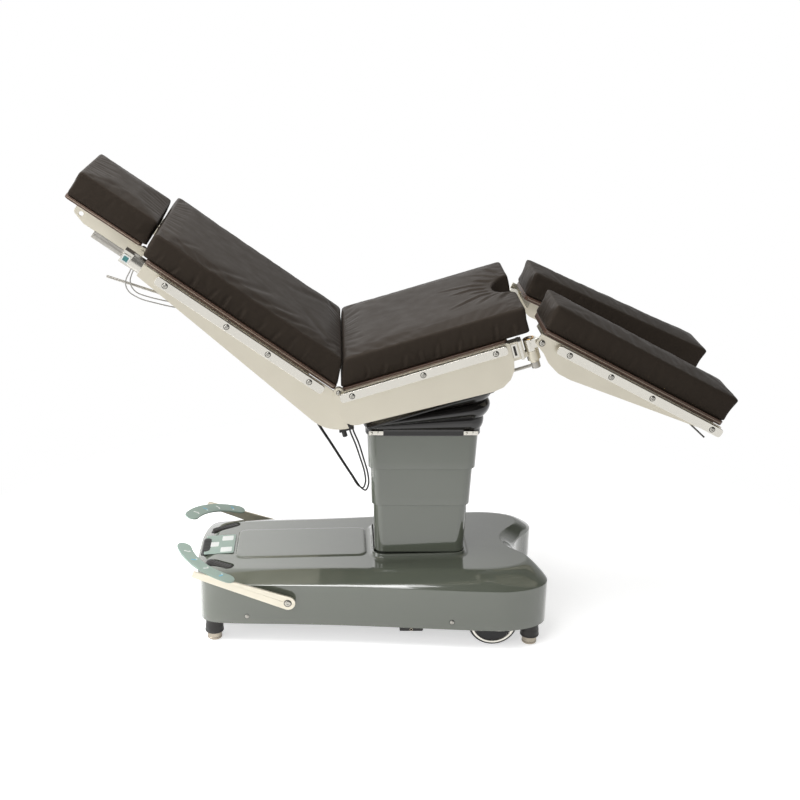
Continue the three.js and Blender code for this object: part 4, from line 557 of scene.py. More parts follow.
def make_materials():
    finish = settings().finish
    paint, plate, rail, cloth, board, rubber, pedal = (
        tuple(color) for color in (finish.paint, finish.plate, finish.rail, finish.cloth, finish.board,
                                   finish.rubber, finish.pedal))
    new_material("Gloss enamel", paint, 0.10, vary=0.05, vary_scale=2.5, spread=0.02, dust=0.02,
                 wear=0.25, worn=(0.32, 0.34, 0.31), height=mottled(160.0), bump=0.00008, bump_strength=0.06,
                 Coat_Weight=1.0, Coat_Roughness=0.035, Coat_IOR=1.58, Specular_IOR_Level=0.5)
    new_material("Satin plate", plate, 0.40, metallic=0.82, vary=0.03, vary_scale=3.0, spread=0.05,
                 height=brushed(14.0, 14.0), bump=0.00004, bump_strength=0.10)
    new_material("Bright bar", rail, 0.25, metallic=0.95, vary=0.03, vary_scale=5.0, spread=0.04,
                 height=brushed(16.0, 14.0), bump=0.00003, bump_strength=0.04)
    new_material("Screw steel", shade(rail, 0.62)[:3], 0.28, metallic=1.0, vary=0.15, vary_scale=120.0,
                 wear=0.3, worn=(0.8, 0.78, 0.72))
    new_material("Foot steel", (0.36, 0.32, 0.26), 0.26, metallic=1.0, vary=0.06, vary_scale=30.0, spread=0.05)
    # Painted shadow: the dark rings round the screw heads and the dark slots of the knee plugs
    new_material("Screw shadow", (0.03, 0.028, 0.025), 0.6, vary=0.2, vary_scale=200.0)
    new_material("Dark enamel", (0.030, 0.029, 0.028), 0.42, metallic=0.3, vary=0.2, vary_scale=14.0,
                 wear=0.4, worn=(0.35, 0.34, 0.32), height=mottled(400.0), bump=0.0003)
    new_material("Pad cover", cloth, 0.46, vary=0.07, vary_scale=3.5, spread=0.06, dust=0.01,
                 height=("Coated cloth", {"Scale": 420.0}), bump=0.00025, bump_strength=0.16,
                 Sheen_Weight=0.012, Sheen_Roughness=0.4, Specular_IOR_Level=0.07,
                 Sheen_Tint=WARM_SHINE, Specular_Tint=WARM_SHINE)
    new_material("Board", board, 0.42, vary=0.15, vary_scale=9.0, wear=0.2, worn=(0.25, 0.17, 0.12),
                 height=brushed(12.0, 20.0), bump=0.0001, bump_strength=0.15)
    new_material("Board lip", (0.33, 0.26, 0.20), 0.35, vary=0.1, vary_scale=20.0)
    new_material("Bellows rubber", rubber, 0.17, vary=0.15, vary_scale=10.0, spread=0.06, dust=0.02,
                 height=mottled(45.0, 1.2), bump=0.0004, bump_strength=0.10, Specular_IOR_Level=0.6)
    new_material("Boot rubber", shade(rubber, 1.3)[:3], 0.42, vary=0.2, vary_scale=60.0, dust=0.04,
                 height=mottled(500.0), bump=0.0003)
    new_material("Tyre rubber", (0.014, 0.014, 0.014), 0.55, vary=0.2, vary_scale=40.0, dust=0.06,
                 height=mottled(300.0), bump=0.0004)
    new_material("Pedal enamel", pedal, 0.38, vary=0.05, vary_scale=18.0, wear=0.2, worn=(0.6, 0.65, 0.6),
                 height=mottled(350.0), bump=0.0002)
    new_material("Pedal mark white", (0.80, 0.82, 0.80), 0.4, vary=0.05, vary_scale=60.0)
    new_material("Pedal mark blue", (0.16, 0.48, 0.66), 0.4, vary=0.08, vary_scale=60.0)
    new_material("Black plastic", (0.014, 0.013, 0.012), 0.45, vary=0.2, vary_scale=50.0,
                 height=mottled(700.0), bump=0.0002)
    new_material("Black cable", (0.014, 0.013, 0.012), 0.4, vary=0.15, vary_scale=80.0,
                 height=mottled(500.0), bump=0.0001)
    new_material("Grey cable", (0.34, 0.33, 0.31), 0.45, vary=0.1, vary_scale=80.0,
                 height=mottled(500.0), bump=0.0001)
    new_material("Lever grey", (0.46, 0.44, 0.40), 0.36, metallic=0.6, vary=0.06, vary_scale=60.0)
    new_material("Brass bush", (0.62, 0.38, 0.14), 0.35, metallic=1.0, vary=0.12, vary_scale=90.0)
    new_material("Teal label", (0.05, 0.20, 0.20), 0.3, vary=0.08, vary_scale=80.0)
    new_material("White label", (0.72, 0.74, 0.72), 0.35, vary=0.04, vary_scale=80.0)


# Camera, stage and lamps
CAMERA_PLACE = (-0.204489, -3.4, 1.941)
CAMERA_PITCH = 20.17
CAMERA_FOCUS_PX, FRAME_PX, CAMERA_SHIFT_PX = 1222, 800, 70
SENSOR_MM = 36
FLOOR_SIZE, FLOOR_COLOR, WHITE = 40, (0.86, 0.86, 0.86, 1), (1, 1, 1, 1)
FLOOR_LIFT, FLOOR_FADE = 0.56, (0.95, 1.7)
AMBIENT = 0.42
# What glossy surfaces see of the studio: a span of directions and the brightness at its two ends
SHINE_BEHIND = (0.15, 0.70, 0.12, 1.0)
SHINE_SIDEWAYS = (-0.08, 0.2, 1.45, 0.6)
SHINE_LEFT = (-0.60, -0.95, 0.0, 0.5)
MIDDLE = (0, 0, 0.7)
# Each lamp: its name, place, target, size, watts and spread
LAMPS = [
    ("Overhead softbox", (-0.9, -0.3, 3.2), MIDDLE, (1.7, 1.7), 46, 180),
    ("Front softbox", (-1.9, -3.2, 2.3), MIDDLE, (1.6, 1.6), 30, 180),
    ("Shoulder softbox", (-0.37, -1.1, 3.2), (-0.37, -0.3, 0), (0.62, 1.0), 10, 180),
    ("Left softbox", (-3.3, -0.7, 1.2), MIDDLE, (1.6, 2.2), 33, 180),
    ("Left floor light", (-2.1, -0.2, 1.1), (-1.8, -0.2, 0), (0.8, 1.8), 13, 80),
]


def add_camera(scene):
    clean_start()
    bpy.ops.object.camera_add(location=CAMERA_PLACE, rotation=(radians(90 - CAMERA_PITCH), 0, 0))
    camera = bpy.context.object
    camera.name = "Photograph camera"
    camera.data.sensor_width = SENSOR_MM
    camera.data.lens = CAMERA_FOCUS_PX * SENSOR_MM / FRAME_PX
    camera.data.shift_x = CAMERA_SHIFT_PX / FRAME_PX
    scene.camera = camera


def add_floor():
    """A matt floor that is lifted a little where it is seen, and fades to white away from the table."""
    bpy.ops.mesh.primitive_plane_add(size=FLOOR_SIZE, location=(0, 0, 0))
    floor = named("studio_floor")
    material = bpy.data.materials.new("Studio floor")
    material.use_nodes = True
    tree = material.node_tree
    tree.nodes.clear()
    path = node(tree, "ShaderNodeLightPath").outputs
    seen = arithmetic(tree, "MAXIMUM", path["Is Camera Ray"], path["Is Glossy Ray"])
    matt = node(tree, "ShaderNodeBsdfDiffuse", {"Color": FLOOR_COLOR}).outputs[0]
    lift = node(tree, "ShaderNodeEmission", {
        "Color": WHITE, "Strength": arithmetic(tree, "MULTIPLY", seen, FLOOR_LIFT)}).outputs[0]
    lit = node(tree, "ShaderNodeAddShader", {0: matt, 1: lift}).outputs[0]
    place = node(tree, "ShaderNodeTexCoord").outputs["Object"]
    reach = node(tree, "ShaderNodeVectorMath", {0: place}, operation="LENGTH").outputs["Value"]
    far = ramp(tree, reach, *FLOOR_FADE, interpolation_type="SMOOTHSTEP")
    white = node(tree, "ShaderNodeEmission", {"Color": WHITE, "Strength": 1.0}).outputs[0]
    both = node(tree, "ShaderNodeMixShader", {
        0: arithmetic(tree, "MULTIPLY", far, seen), 1: lit, 2: white}).outputs[0]
    node(tree, "ShaderNodeOutputMaterial", {"Surface": both})
    floor.data.materials.append(material)


def add_world(scene):
    """A white backdrop that is darker for the light that falls on the table and for what shines in it."""
    world = bpy.data.worlds.new("Studio")
    scene.world = world
    world.use_nodes = True
    tree = world.node_tree
    tree.nodes.clear()
    path = node(tree, "ShaderNodeLightPath").outputs
    toward = node(tree, "ShaderNodeSeparateXYZ", {0: node(tree, "ShaderNodeTexCoord").outputs["Generated"]}).outputs
    behind = ramp(tree, toward["Y"], *SHINE_BEHIND, interpolation_type="SMOOTHSTEP")
    sideways = ramp(tree, toward["X"], *SHINE_SIDEWAYS)
    left = ramp(tree, toward["X"], *SHINE_LEFT)
    shown = arithmetic(tree, "MAXIMUM", arithmetic(tree, "MULTIPLY", behind, sideways), left)
    glossy = arithmetic(tree, "MULTIPLY", path["Is Glossy Ray"], shown)
    seen = arithmetic(tree, "ADD", path["Is Camera Ray"], glossy)
    used = arithmetic(tree, "MAXIMUM", path["Is Camera Ray"], path["Is Glossy Ray"])
    spare = arithmetic(tree, "MULTIPLY", arithmetic(tree, "SUBTRACT", 1.0, used), AMBIENT)
    strength = arithmetic(tree, "ADD", seen, spare)
    glow = node(tree, "ShaderNodeBackground", {"Color": WHITE, "Strength": strength}).outputs[0]
    node(tree, "ShaderNodeOutputWorld", {"Surface": glow})


def add_lamp(name, place, target, size, watts, spread):
    clean_start()
    bpy.ops.object.light_add(type="AREA", location=place)
    obj = bpy.context.object
    obj.name = name
    obj.rotation_euler = (Vector(target) - Vector(place)).to_track_quat("-Z", "Y").to_euler()
    obj.data.shape = "RECTANGLE"
    obj.data.size, obj.data.size_y = size
    obj.data.energy = watts
    obj.data.spread = radians(spread)


class STAGE_OT_build(bpy.types.Operator):
    """Sets up the camera, the floor, the backdrop and the lamps"""
    bl_idname = "operating_table.stage"
    bl_label = "Camera, floor and lamps"

    def execute(self, context):
        add_camera(context.scene)
        context.scene.view_settings.view_transform = "Standard"
        add_floor()
        add_world(context.scene)
        for row in LAMPS:
            add_lamp(*row)
        return {"FINISHED"}


class MATERIALS_OT_build(bpy.types.Operator):
    """Makes the finishes that the pieces wear"""
    bl_idname = "operating_table.materials"
    bl_label = "Finishes"

    def execute(self, context):
        make_groups()
        make_materials()
        return {"FINISHED"}


# Cords: the points of each free run, as in the part's source
BLACK_ROUTES = {
    "black_cable_1": [(-.241, -.232, .8618), (-.2288, -.232, .8531), (-.196, -.232, .784), (-.156, -.232, .706),
                      (-.12, -.233, .647), (-.087, -.234, .592), (-.06, -.234, .548), (-.038, -.234, .514),
                      (-.025, -.234, .506), (-.017, -.234, .524), (-.019, -.234, .556), (-.032, -.233, .604),
                      (-.046, -.232, .65), (-.0596, -.232, .683), (-.0638, -.232, .6963)],
    "black_cable_2": [(-.241, -.241, .8618), (-.2288, -.241, .8531), (-.2, -.24, .79), (-.16, -.239, .71),
                      (-.124, -.239, .651), (-.091, -.24, .596), (-.066, -.241, .556), (-.046, -.242, .524),
                      (-.033, -.242, .517), (-.026, -.242, .534), (-.029, -.242, .566), (-.042, -.241, .61),
                      (-.055, -.241, .65), (-.0672, -.241, .6805), (-.0714, -.241, .6939)],
}
GREY_ROUTES = {
    "grey_cable_1": [(-.6536, -.243, 1.15), (-.66, -.243, 1.138), (-.668, -.243, 1.122), (-.669, -.243, 1.104),
                     (-.661, -.243, 1.088), (-.633, -.243, 1.07), (-.59, -.243, 1.057), (-.548, -.243, 1.047),
                     (-.512, -.243, 1.041), (-.4893, -.243, 1.0314), (-.477, -.243, 1.0227)],
    "grey_cable_2": [(-.6479, -.236, 1.146), (-.653, -.236, 1.135), (-.658, -.236, 1.118), (-.655, -.236, 1.1),
                     (-.642, -.236, 1.085), (-.612, -.236, 1.073), (-.56, -.236, 1.06), (-.516, -.236, 1.05),
                     (-.4893, -.236, 1.0314), (-.477, -.236, 1.0227)],
}
BLACK_RADIUS, GREY_RADIUS = 0.0024, 0.0017


class CORDS_OT_build(bpy.types.Operator):
    """Hangs the two black cables between the back and the seat's bracket, and the two grey ones under the back"""
    bl_idname = "operating_table.cords"
    bl_label = "Cables"

    def execute(self, context):
        shift = Vector((TABLE_X, 0, 0))
        for name, route in {**BLACK_ROUTES, **GREY_ROUTES}.items():
            black = name in BLACK_ROUTES
            radius = BLACK_RADIUS if black else GREY_RADIUS
            line = [p + shift for p in smooth_points(route, 9)]
            cord = coated(tube(f"{name}_run", line, radius), "Black cable" if black else "Grey cable")
            activate(cord)
            bpy.ops.object.shade_smooth()
            if black:
                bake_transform(cord)
            else:
                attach(cord, "back")
            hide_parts(name)
        return {"FINISHED"}


# Pads
PAD_SIDE = [(0, .0040), (.012, .0016), (.04, .0005), (.12, .0008), (.25, .0018), (.42, .0022), (.58, .0020),
            (.74, .0010), (.88, .0002), (.95, .0003), (.975, .0009), (.990, .0019), (1, .0036)]
PAD_CROWN = [(.006, .12), (.016, .32), (.030, .54), (.050, .76), (.070, .92), (.088, 1)]
PAD_EDGE, PAD_CORNER = .0036, .007
PAD_BOW = 1.35
PAD_HALF, HEAD_PAD_HALF, LEG_PAD_INNER = .26, .158, .083
# The cloth simulation: what is held below, how firmly the edges are held, and how far a point may move
HELD_HEIGHT, EDGE_HOLD, SWELL_CAP = .006, .85, .0036
SWELL_PRESSURE, SWELL_FRAMES = 1.5, 16
# Where each pad starts and ends along its section
SEAT_SPAN, BACK_SPAN, HEAD_SPAN, LEG_SPAN = (.0085, .5415), (-.641, -.0125), (-.250, .001), (-.009, .568)
# Half the width of the cut-out, and its radius
SEAT_NOTCH = (.092, .100)
UP = (0, 0, 1)
# Creases in a pad's top: start, end, width, depth and bend
BACK_CREASES = [
    ((-.50, -.25), (-.36, -.12), .014, .0022, .012), ((-.44, -.25), (-.26, -.07), .018, .0026, .016),
    ((-.35, -.25), (-.17, -.13), .013, .0022, .010), ((-.28, -.25), (-.12, -.17), .011, .0020, .006),
    ((-.06, -.24), (-.20, -.02), .016, .0018, -.012), ((-.05, .20), (-.26, .03), .020, .0020, .010),
    ((-.60, -.24), (-.52, -.14), .012, .0012, .0)]
HEAD_CREASES = [((-.24, -.15), (-.10, -.05), .012, .0010, .006)]
# Those of the seat also say which way they face, and lie lower toward its middle
SEAT_CREASES = [
    ((.06, -.24, .088), (.25, -.08, .084), UP, .020, .0008, .012),
    ((.10, -.25, .088), (.33, -.17, .082), UP, .016, .0008, .010),
    ((.05, -.10, .088), (.22, .10, .084), UP, .028, .0007, .012),
    ((.05, .22, .088), (.24, .08, .084), UP, .020, .0007, -.012)]


def pad_outline(start, end, low, high, far_corner=PAD_CORNER, notch=None):
    """A pad seen from above, with rounded corners and, if asked, a round cut-out in its +X end."""
    corners = [(start, low, PAD_CORNER), (end, low, far_corner), (end, high, far_corner), (start, high, PAD_CORNER)]
    ring = rounded(corners, 10)
    if not notch:
        return ring
    half, radius = notch
    spread = asin(half / radius)
    near, rest = ring[:22], ring[22:]
    bay = [(end + radius * cos(spread) - x, y) for x, y in arc(radius, -spread, spread, 32)]
    return near + bay + rest


def pad_body(name, outline, bottom, thickness, lean):
    """A closed block with drawn-in sides and a crown, in an even mesh."""
    pads = settings().pads

    def ring(inset, share, rise):
        return [Vector((lean(x, share), y, bottom + thickness(x) * share + rise))
                for x, y in drawn_in(outline, inset)]

    rings = [ring(inset, share, 0) for share, inset in PAD_SIDE]
    rings += [ring(PAD_EDGE + reach, 1, pads.crown * share) for reach, share in PAD_CROWN]
    obj = lofted(name, rings)
    modify(obj, "REMESH", mode="VOXEL", voxel_size=pads.voxel * 1, use_smooth_shade=True)
    return modify(obj, "SMOOTH", iterations=1, factor=0.5)


def coordinates(obj, attribute="co", rows=None):
    """A vector of each vertex, its place unless asked otherwise, as rows of numbers."""
    found = np.zeros(len(obj.data.vertices) * 3, np.float32)
    (rows or obj.data.vertices).foreach_get(attribute, found)
    return found.reshape(-1, 3).astype(float)


def place_vertices(obj, spots):
    obj.data.vertices.foreach_set("co", spots.astype(np.float32).ravel())
    obj.data.update()


def swell(pads):
    """Blows the covers up a little with the cloth simulation, undersides held, so that they pull and sag."""
    rests = []
    for obj in pads:
        rest = coordinates(obj)
        rests.append(rest)
        low = rest[:, 2].min()
        held = obj.vertex_groups.new(name="held")
        under = rest[:, 2] < low + HELD_HEIGHT
        edge = (np.abs(coordinates(obj, "normal")).max(axis=1) < 0.93) & ~under
        for part, weight in ((under, 1.0), (edge, EDGE_HOLD)):
            held.add([int(k) for k in np.nonzero(part)[0]], weight, "REPLACE")
        cloth = obj.modifiers.new("Cover", "CLOTH").settings
        cloth.quality = 4
        cloth.mass = 0.25
        cloth.tension_stiffness = cloth.compression_stiffness = 28
        cloth.bending_stiffness = 2.5
        cloth.use_pressure = True
        cloth.uniform_pressure_force = SWELL_PRESSURE
        cloth.shrink_min = -0.003
        cloth.vertex_group_mass = "held"
        cloth.effector_weights.gravity = 0
    scene = bpy.context.scene
    for step in range(1, SWELL_FRAMES + 1):
        scene.frame_set(step)
    graph = bpy.context.evaluated_depsgraph_get()
    for obj, rest in zip(pads, rests):
        soft = coordinates(obj.evaluated_get(graph))
        obj.modifiers.remove(obj.modifiers[0])
        move = soft - rest
        far = np.linalg.norm(move, axis=1, keepdims=True)
        place_vertices(obj, rest + move * np.minimum(1, SWELL_CAP / np.maximum(far, 1e-9)))
    scene.frame_set(1)


def crease(spots, normals, start, end, facing, width, depth, bend=0.0):
    """A fold from start to end in the side that faces a direction: a furrow with a ridge beside it."""
    start, end, facing = (np.array(v, float) for v in (start, end, facing))
    along = end - start
    reach = np.linalg.norm(along)
    across = np.cross(along / reach, facing)
    across /= np.linalg.norm(across)
    offset = spots - start
    share = offset @ along / reach ** 2
    aside = offset @ across - bend * 4 * share * (1 - share)
    near = np.clip(normals @ facing * 1.6 - 0.3, 0, 1)
    ends = np.clip(np.minimum(share / 0.12, (1 - share) / 0.45), 0, 1)
    ends = ends * ends * (3 - 2 * ends)
    deep = np.exp(-(aside / width) ** 2)
    ridge = np.exp(-((aside - 1.7 * width) / (1.1 * width)) ** 2)
    return normals * ((0.65 * ridge - deep) * ends * near * depth)[:, None]


def gathers(start, end, low, high, y, facing, seed, share=(0.55, 0.95), lean=0.012, strength=1.0):
    """Evenly spaced gathers that rise from the lower edge of one side."""
    pads = settings().pads
    rng = np.random.default_rng(seed)
    count = int((end - start) / pads.crease_step)
    found = []
    for k in range(count):
        x = start + (end - start) * (k + 0.5 + rng.uniform(-0.16, 0.16)) / count
        top = low + (high - low) * rng.uniform(*share)
        slant = rng.uniform(-0.4, 1.0) * lean
        found.append(((x, y, low), (x + slant, y, top), (0, facing, 0), rng.uniform(0.0030, 0.0050),
                      strength * pads.crease_depth * rng.uniform(0.45, 1.1), rng.uniform(-0.004, 0.006)))
    return found


def top_creases(rows, height):
    return [((*start, height), (*end, height), UP, *shape) for start, end, *shape in rows]


def creased(obj, folds):
    spots, normals = coordinates(obj), coordinates(obj, "normal")
    move = np.zeros_like(spots)
    for fold in folds:
        move += crease(spots, normals, *fold)
    place_vertices(obj, spots + move)


def pad_finished(obj, place, body, node_name):
    modify(obj, "SUBSURF", levels=1, render_levels=1)
    finished(obj, body, "Pad cover", place, smooth=0, stands_for=(node_name,))
    activate(obj)
    bpy.ops.object.shade_smooth()


def fixed(value):
    return lambda x: value


def leaning(start, end, at_start, at_end, bow=1.0):
    return lambda x, share: x + share ** bow * (at_start + (at_end - at_start) * (x - start) / (end - start))


class PADS_OT_build(bpy.types.Operator):
    """Models the seat, back, head and leg pads, swells them as cloth and presses their creases"""
    bl_idname = "operating_table.pads"
    bl_label = "Pads"

    def execute(self, context):
        pads = self.bodies()
        swell(list(pads.values()))
        self.crease_back(pads["back"])
        self.crease_seat(pads["seat"])
        self.crease_head(pads["head"])
        for side, sign in SIDES.items():
            self.crease_leg(pads[side], sign)

        pad_finished(pads["seat"], SEAT, "seat", "seat_cushion")
        pad_finished(pads["back"], BACK, "back", "back_cushion")
        pad_finished(pads["head"], HEAD, "head", "head_cushion")
        for side in SIDES:
            pad_finished(pads[side], LEG[side], f"leg_{side[0]}", f"leg_cushion_{side}")
        return {"FINISHED"}

    def bodies(self):
        """The plain pads, each in its own section's frame."""
        half = PAD_HALF
        pads = {}
        start, end = SEAT_SPAN
        pads["seat"] = pad_body("seat_pad", pad_outline(start, end, -half, half, notch=SEAT_NOTCH), .0053,
                                lambda x: .079 - .005 * (x - start) / .533,
                                leaning(start, end, .032, .003, PAD_BOW))
        pads["back"] = pad_body("back_pad", pad_outline(*BACK_SPAN, -half, half), .0093, fixed(.070),
                                leaning(-.636, -.024, -.002, -.032, PAD_BOW))
        pads["head"] = pad_body("head_pad", pad_outline(*HEAD_SPAN, -HEAD_PAD_HALF, HEAD_PAD_HALF), .023,
                                fixed(.073), leaning(*HEAD_SPAN, 0, -.008))
        for side, sign in SIDES.items():
            outline = pad_outline(*LEG_SPAN, *sorted((sign * LEG_PAD_INNER, sign * half)), far_corner=.010)
            pads[side] = pad_body(f"leg_pad_{side}", outline, .0353, fixed(.073), leaning(*LEG_SPAN, -.003, .003))
        return pads

    def crease_back(self, pad):
        low, high = .012, .073
        folds = gathers(-.628, -.15, low, high, -PAD_HALF, -1, 11, strength=1.5)
        folds += gathers(-.16, -.05, low, high, -PAD_HALF, -1, 12, strength=0.7)
        folds += gathers(-.628, -.05, low, high, PAD_HALF, 1, 13, strength=1.1)
        creased(pad, folds + top_creases(BACK_CREASES, .082))

    def crease_seat(self, pad):
        """Gathers along the sides, a fan of creases round the cut-out and long shallow ones on top."""
        low, high = .010, .074
        folds = gathers(.05, .52, low, high, -PAD_HALF, -1, 21, lean=.02, strength=1.2)
        folds += gathers(.05, .52, low, high, PAD_HALF, 1, 22, strength=1.0)
        middle = Vector((.5396 + .0392, 0))
        for k in range(9):
            angle = radians(-62 + 15.5 * k)
            outward = Vector((-cos(angle), sin(angle)))
            inner, outer = middle + outward * .104, middle + outward * (.175 + .05 * (k % 3))
            folds.append(((*inner, .072), (*outer, .075), UP, .0065, .0022 if k % 2 else .0030, .004))
        creased(pad, folds + SEAT_CREASES)

    def crease_head(self, pad):
        folds = gathers(-.24, -.02, .026, .094, -HEAD_PAD_HALF, -1, 31, strength=0.25)
        folds += gathers(-.24, -.02, .026, .094, HEAD_PAD_HALF, 1, 32, strength=0.25)
        creased(pad, folds + top_creases(HEAD_CREASES, .094))

    def crease_leg(self, pad, sign):
        low, high = .040, .106
        folds = gathers(.0, .56, low, high, sign * PAD_HALF, sign, 41 + sign, strength=0.30)
        folds += gathers(.0, .56, low, high, sign * LEG_PAD_INNER, -sign, 44 + sign, strength=0.35)
        folds += [((.0, sign * .24, .110), (.12, sign * .17, .110), UP, .012, .0012, .004),
                  ((.56, sign * .24, .110), (.44, sign * .15, .110), UP, .014, .0014, .004)]
        creased(pad, folds)


# Bellows
COLUMN_X = 0.142
BELLOWS_FOLDS = [(0, 0), (.13, .25), (.26, .05), (.46, .9), (.62, .15), (.82, 1), (1, .2)]
BELLOWS_SPLIT = 0.62
BELLOWS_LOW, BELLOWS_BAND = 0.634, 0.020
BELLOWS_CEILING = -0.1363
BELLOWS_WALL, BELLOWS_REST, BELLOWS_REACH = .0022, .002, .018
COLUMN_TOP = (.325, .279)
# Height over the column's top and growth of the clamping band, then height and growth of the seat's flange
BAND_PROFILE = [(.0, .0026), (.0022, .0034), (.0042, .0034), (.0052, .0029), (.0140, .0029), (.0150, .0034),
                (.0172, .0034)]
FLANGE_PROFILE = [(BELLOWS_CEILING, -.0006), (BELLOWS_CEILING, 0), (-.1348, .0006), (-.1318, .0006), (-.1314, 0),
                  (-.1314, -.02)]


def mix(a, b, share):
    return a + (b - a) * share


def bellows_ring(share, grow):
    half_length = mix(COLUMN_TOP[0], .352, share) / 2 + grow
    half_width = mix(COLUMN_TOP[1], .330, share) / 2 + grow
    corner = mix(.028, .044, share) + grow
    ring = []
    for x, y in rectangle(-half_length, half_length, -half_width, half_width, corner, 12):
        low = Vector((COLUMN_X + x, y, BELLOWS_LOW + BELLOWS_BAND))
        high = SEAT_IN_BASE @ Vector((.224 + x, y, BELLOWS_CEILING))
        ring.append(low.lerp(high, share))
    return ring


def level_ring(height, grow):
    """The foot of the bellows, laid flat at a height over the column's top."""
    return [Vector((p.x, p.y, BELLOWS_LOW + height)) for p in bellows_ring(0, grow)]


def fold_growth(share):
    """How far the skin stands out at a share of the height: round ridges and tight valleys."""
    for (s0, g0), (s1, g1) in zip(BELLOWS_FOLDS, BELLOWS_FOLDS[1:]):
        if share <= s1:
            t = (share - s0) / (s1 - s0)
            rising = g1 > g0
            bow = sin(pi / 2 * (t if rising else 1 - t)) ** 0.75
            low, high = (g0, g1) if rising else (g1, g0)
            return BELLOWS_REST + BELLOWS_REACH * mix(low, high, bow)
    return BELLOWS_REST + BELLOWS_REACH * BELLOWS_FOLDS[-1][1]


def fold_rings(shares, grow=0):
    return [bellows_ring(share, fold_growth(share) + grow) for share in shares]


def bending_slab(low_share, high_share):
    """A tilted slab over the bellows: its start and end points, level with the rings at two shares."""
    ends = []
    for share in (low_share, high_share):
        ring = bellows_ring(share, 0)
        ends.append((min(ring, key=lambda p: p.x), max(ring, key=lambda p: p.x)))
    slope = sum((right.z - left.z) / (right.x - left.x) for left, right in ends) / 2
    upward = Vector((-slope, 0, 1)).normalized()
    start, above = Vector((ends[0][0].x, 0, ends[0][0].z)), Vector((ends[1][0].x, 0, ends[1][0].z))
    return tuple(BASE @ start), tuple(BASE @ (start + upward * (above - start).dot(upward)))


def skin(name, outer, inner):
    """A wall between matching rings, open at both ends, closed along its rims."""
    inner = inner + [inner[-1]] * (len(outer) - len(inner))
    obj = lofted(name, outer + inner[::-1] + [outer[0]], caps=(False, False))
    return edited(obj, lambda: bpy.ops.mesh.remove_doubles(threshold=1e-6),
                  lambda: bpy.ops.mesh.normals_make_consistent(inside=False))


class BELLOWS_OT_build(bpy.types.Operator):
    """Models the folded rubber bellows with their band, flange and clamps"""
    bl_idname = "operating_table.bellows"
    bl_label = "Bellows"

    def execute(self, context):
        steps = settings().details.bellows_folds // 2
        shares = [BELLOWS_SPLIT * k / steps for k in range(steps + 1)]
        outer = [level_ring(height, grow) for height, grow in BAND_PROFILE] + fold_rings(shares, BELLOWS_WALL)
        lower = skin("bellows_lower_skin", outer, [level_ring(0, .0006)] + fold_rings(shares))
        finished(lower, "column", "Bellows rubber", BASE, smooth=60)
        lower.parent = None
        start, end = bending_slab(0.02, BELLOWS_SPLIT)
        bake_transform(lower)
        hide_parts("bellows_lower")

        foot = BELLOWS_SPLIT + .006
        shares = [foot + (1 - foot) * k / steps for k in range(steps + 1)]
        outer = fold_rings(shares, BELLOWS_WALL)
        for n, grow in FLANGE_PROFILE:
            ring = rectangle(.040 - grow, .409 + grow, -.244 - grow, .244 + grow, .012, 12)
            outer.append([SEAT_IN_BASE @ Vector((x, y, n)) for x, y in ring])
        upper = skin("bellows_upper_skin", outer, fold_rings(shares))
        finished(upper, "seat", "Bellows rubber", BASE, smooth=60)
        upper.parent = None
        start, end = bending_slab(BELLOWS_SPLIT, 0.98)
        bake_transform(upper)
        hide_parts("bellows_upper")
        self.clamps()
        return {"FINISHED"}

    def clamps(self):
        """Four small clamps on the band, near its corners."""
        clamps = []
        half_length, half_width = (size / 2 + .0036 for size in COLUMN_TOP)
        for sx, sy in ((-1, -1), (-1, 1), (1, -1), (1, 1)):
            x, y = COLUMN_X + sx * (half_length - .030), sy * half_width
            plate = add_box("clamp", (x - .021, y, .6375), (x + .021, y + sy * .0022, .6500))
            bolt = turned("clamp_bolt", [(.0032, 0), (.0032, .0028), (.0022, .0042), (.0012, .0046)],
                          (x - .012, y + sy * .0022, .6437), (0, sy, 0), 16)
            ear = add_box("clamp_ear", (x + .004, y, .6395), (x + .0075, y + sy * .006, .6480))
            clamps += [bevelled(plate, .0006), bolt, bevelled(ear, .0005)]
        finished(joined("bellows_clamps", clamps), "column", "Bright bar", BASE)


# Base
OUTLINE_SHARES = [
    (0, 0), (.0005, .227), (.004, .447), (.02, .708), (.038, .78), (.083, .826), (.219, .841), (.39, .864),
    (.526, .902), (.667, .947), (.8, .989), (.878, 1), (.921, .966), (.952, .92), (.98, .848), (.997, .746),
    (1, .625), (.989, .504), (.96, .364), (.941, .227), (.931, .095), (.93, 0)]
NOSE_X, BASE_LENGTH, BASE_HALF = -0.530, 1.050, 0.264
SHOULDER_Z, DECK_NOSE_Z, DECK_RISE = 0.193, 0.2135, 0.026
DECK_CROWN = [(0, 0), (.018, .045), (.065, .115), (.15, .235), (.26, .365), (.40, .52), (.55, .68), (.70, .82),
              (.85, .93), (1, 1)]
CROWN_LENGTH, CROWN_WIDTH = 0.058, 0.076
NOSE_PEDALS = {"front": (-.506, 0, 90), "right": (-.458, -.124, -30), "left": (-.458, .124, 30)}
COLUMN_FOOT, COLUMN_CORNER = .268, .028
# How far each ring of the raised panel is drawn in, and how high it lies over the deck
PANEL_EDGE = [(0, 0), (.0012, .0004), (.0026, .0013), (.0040, .0026), (.0054, .0035), (.0072, .0040), (.012, .0041)]


def deck_z(x):
    return DECK_NOSE_Z + DECK_RISE * (x - NOSE_X) / BASE_LENGTH


def base_outline():
    half = [(NOSE_X + x * BASE_LENGTH, y * BASE_HALF) for x, y in OUTLINE_SHARES]
    whole = half + [(x, -y) for x, y in reversed(half[1:-1])]
    found = smooth_points([(x, y, 0) for x, y in whole], 6, closed=True)
    for _ in range(12):
        found = [p / 2 + (before + after) / 4
                 for p, before, after in zip(found, found[-1:] + found[:-1], found[1:] + found[:1])]
    return [(p.x, p.y) for p in found]


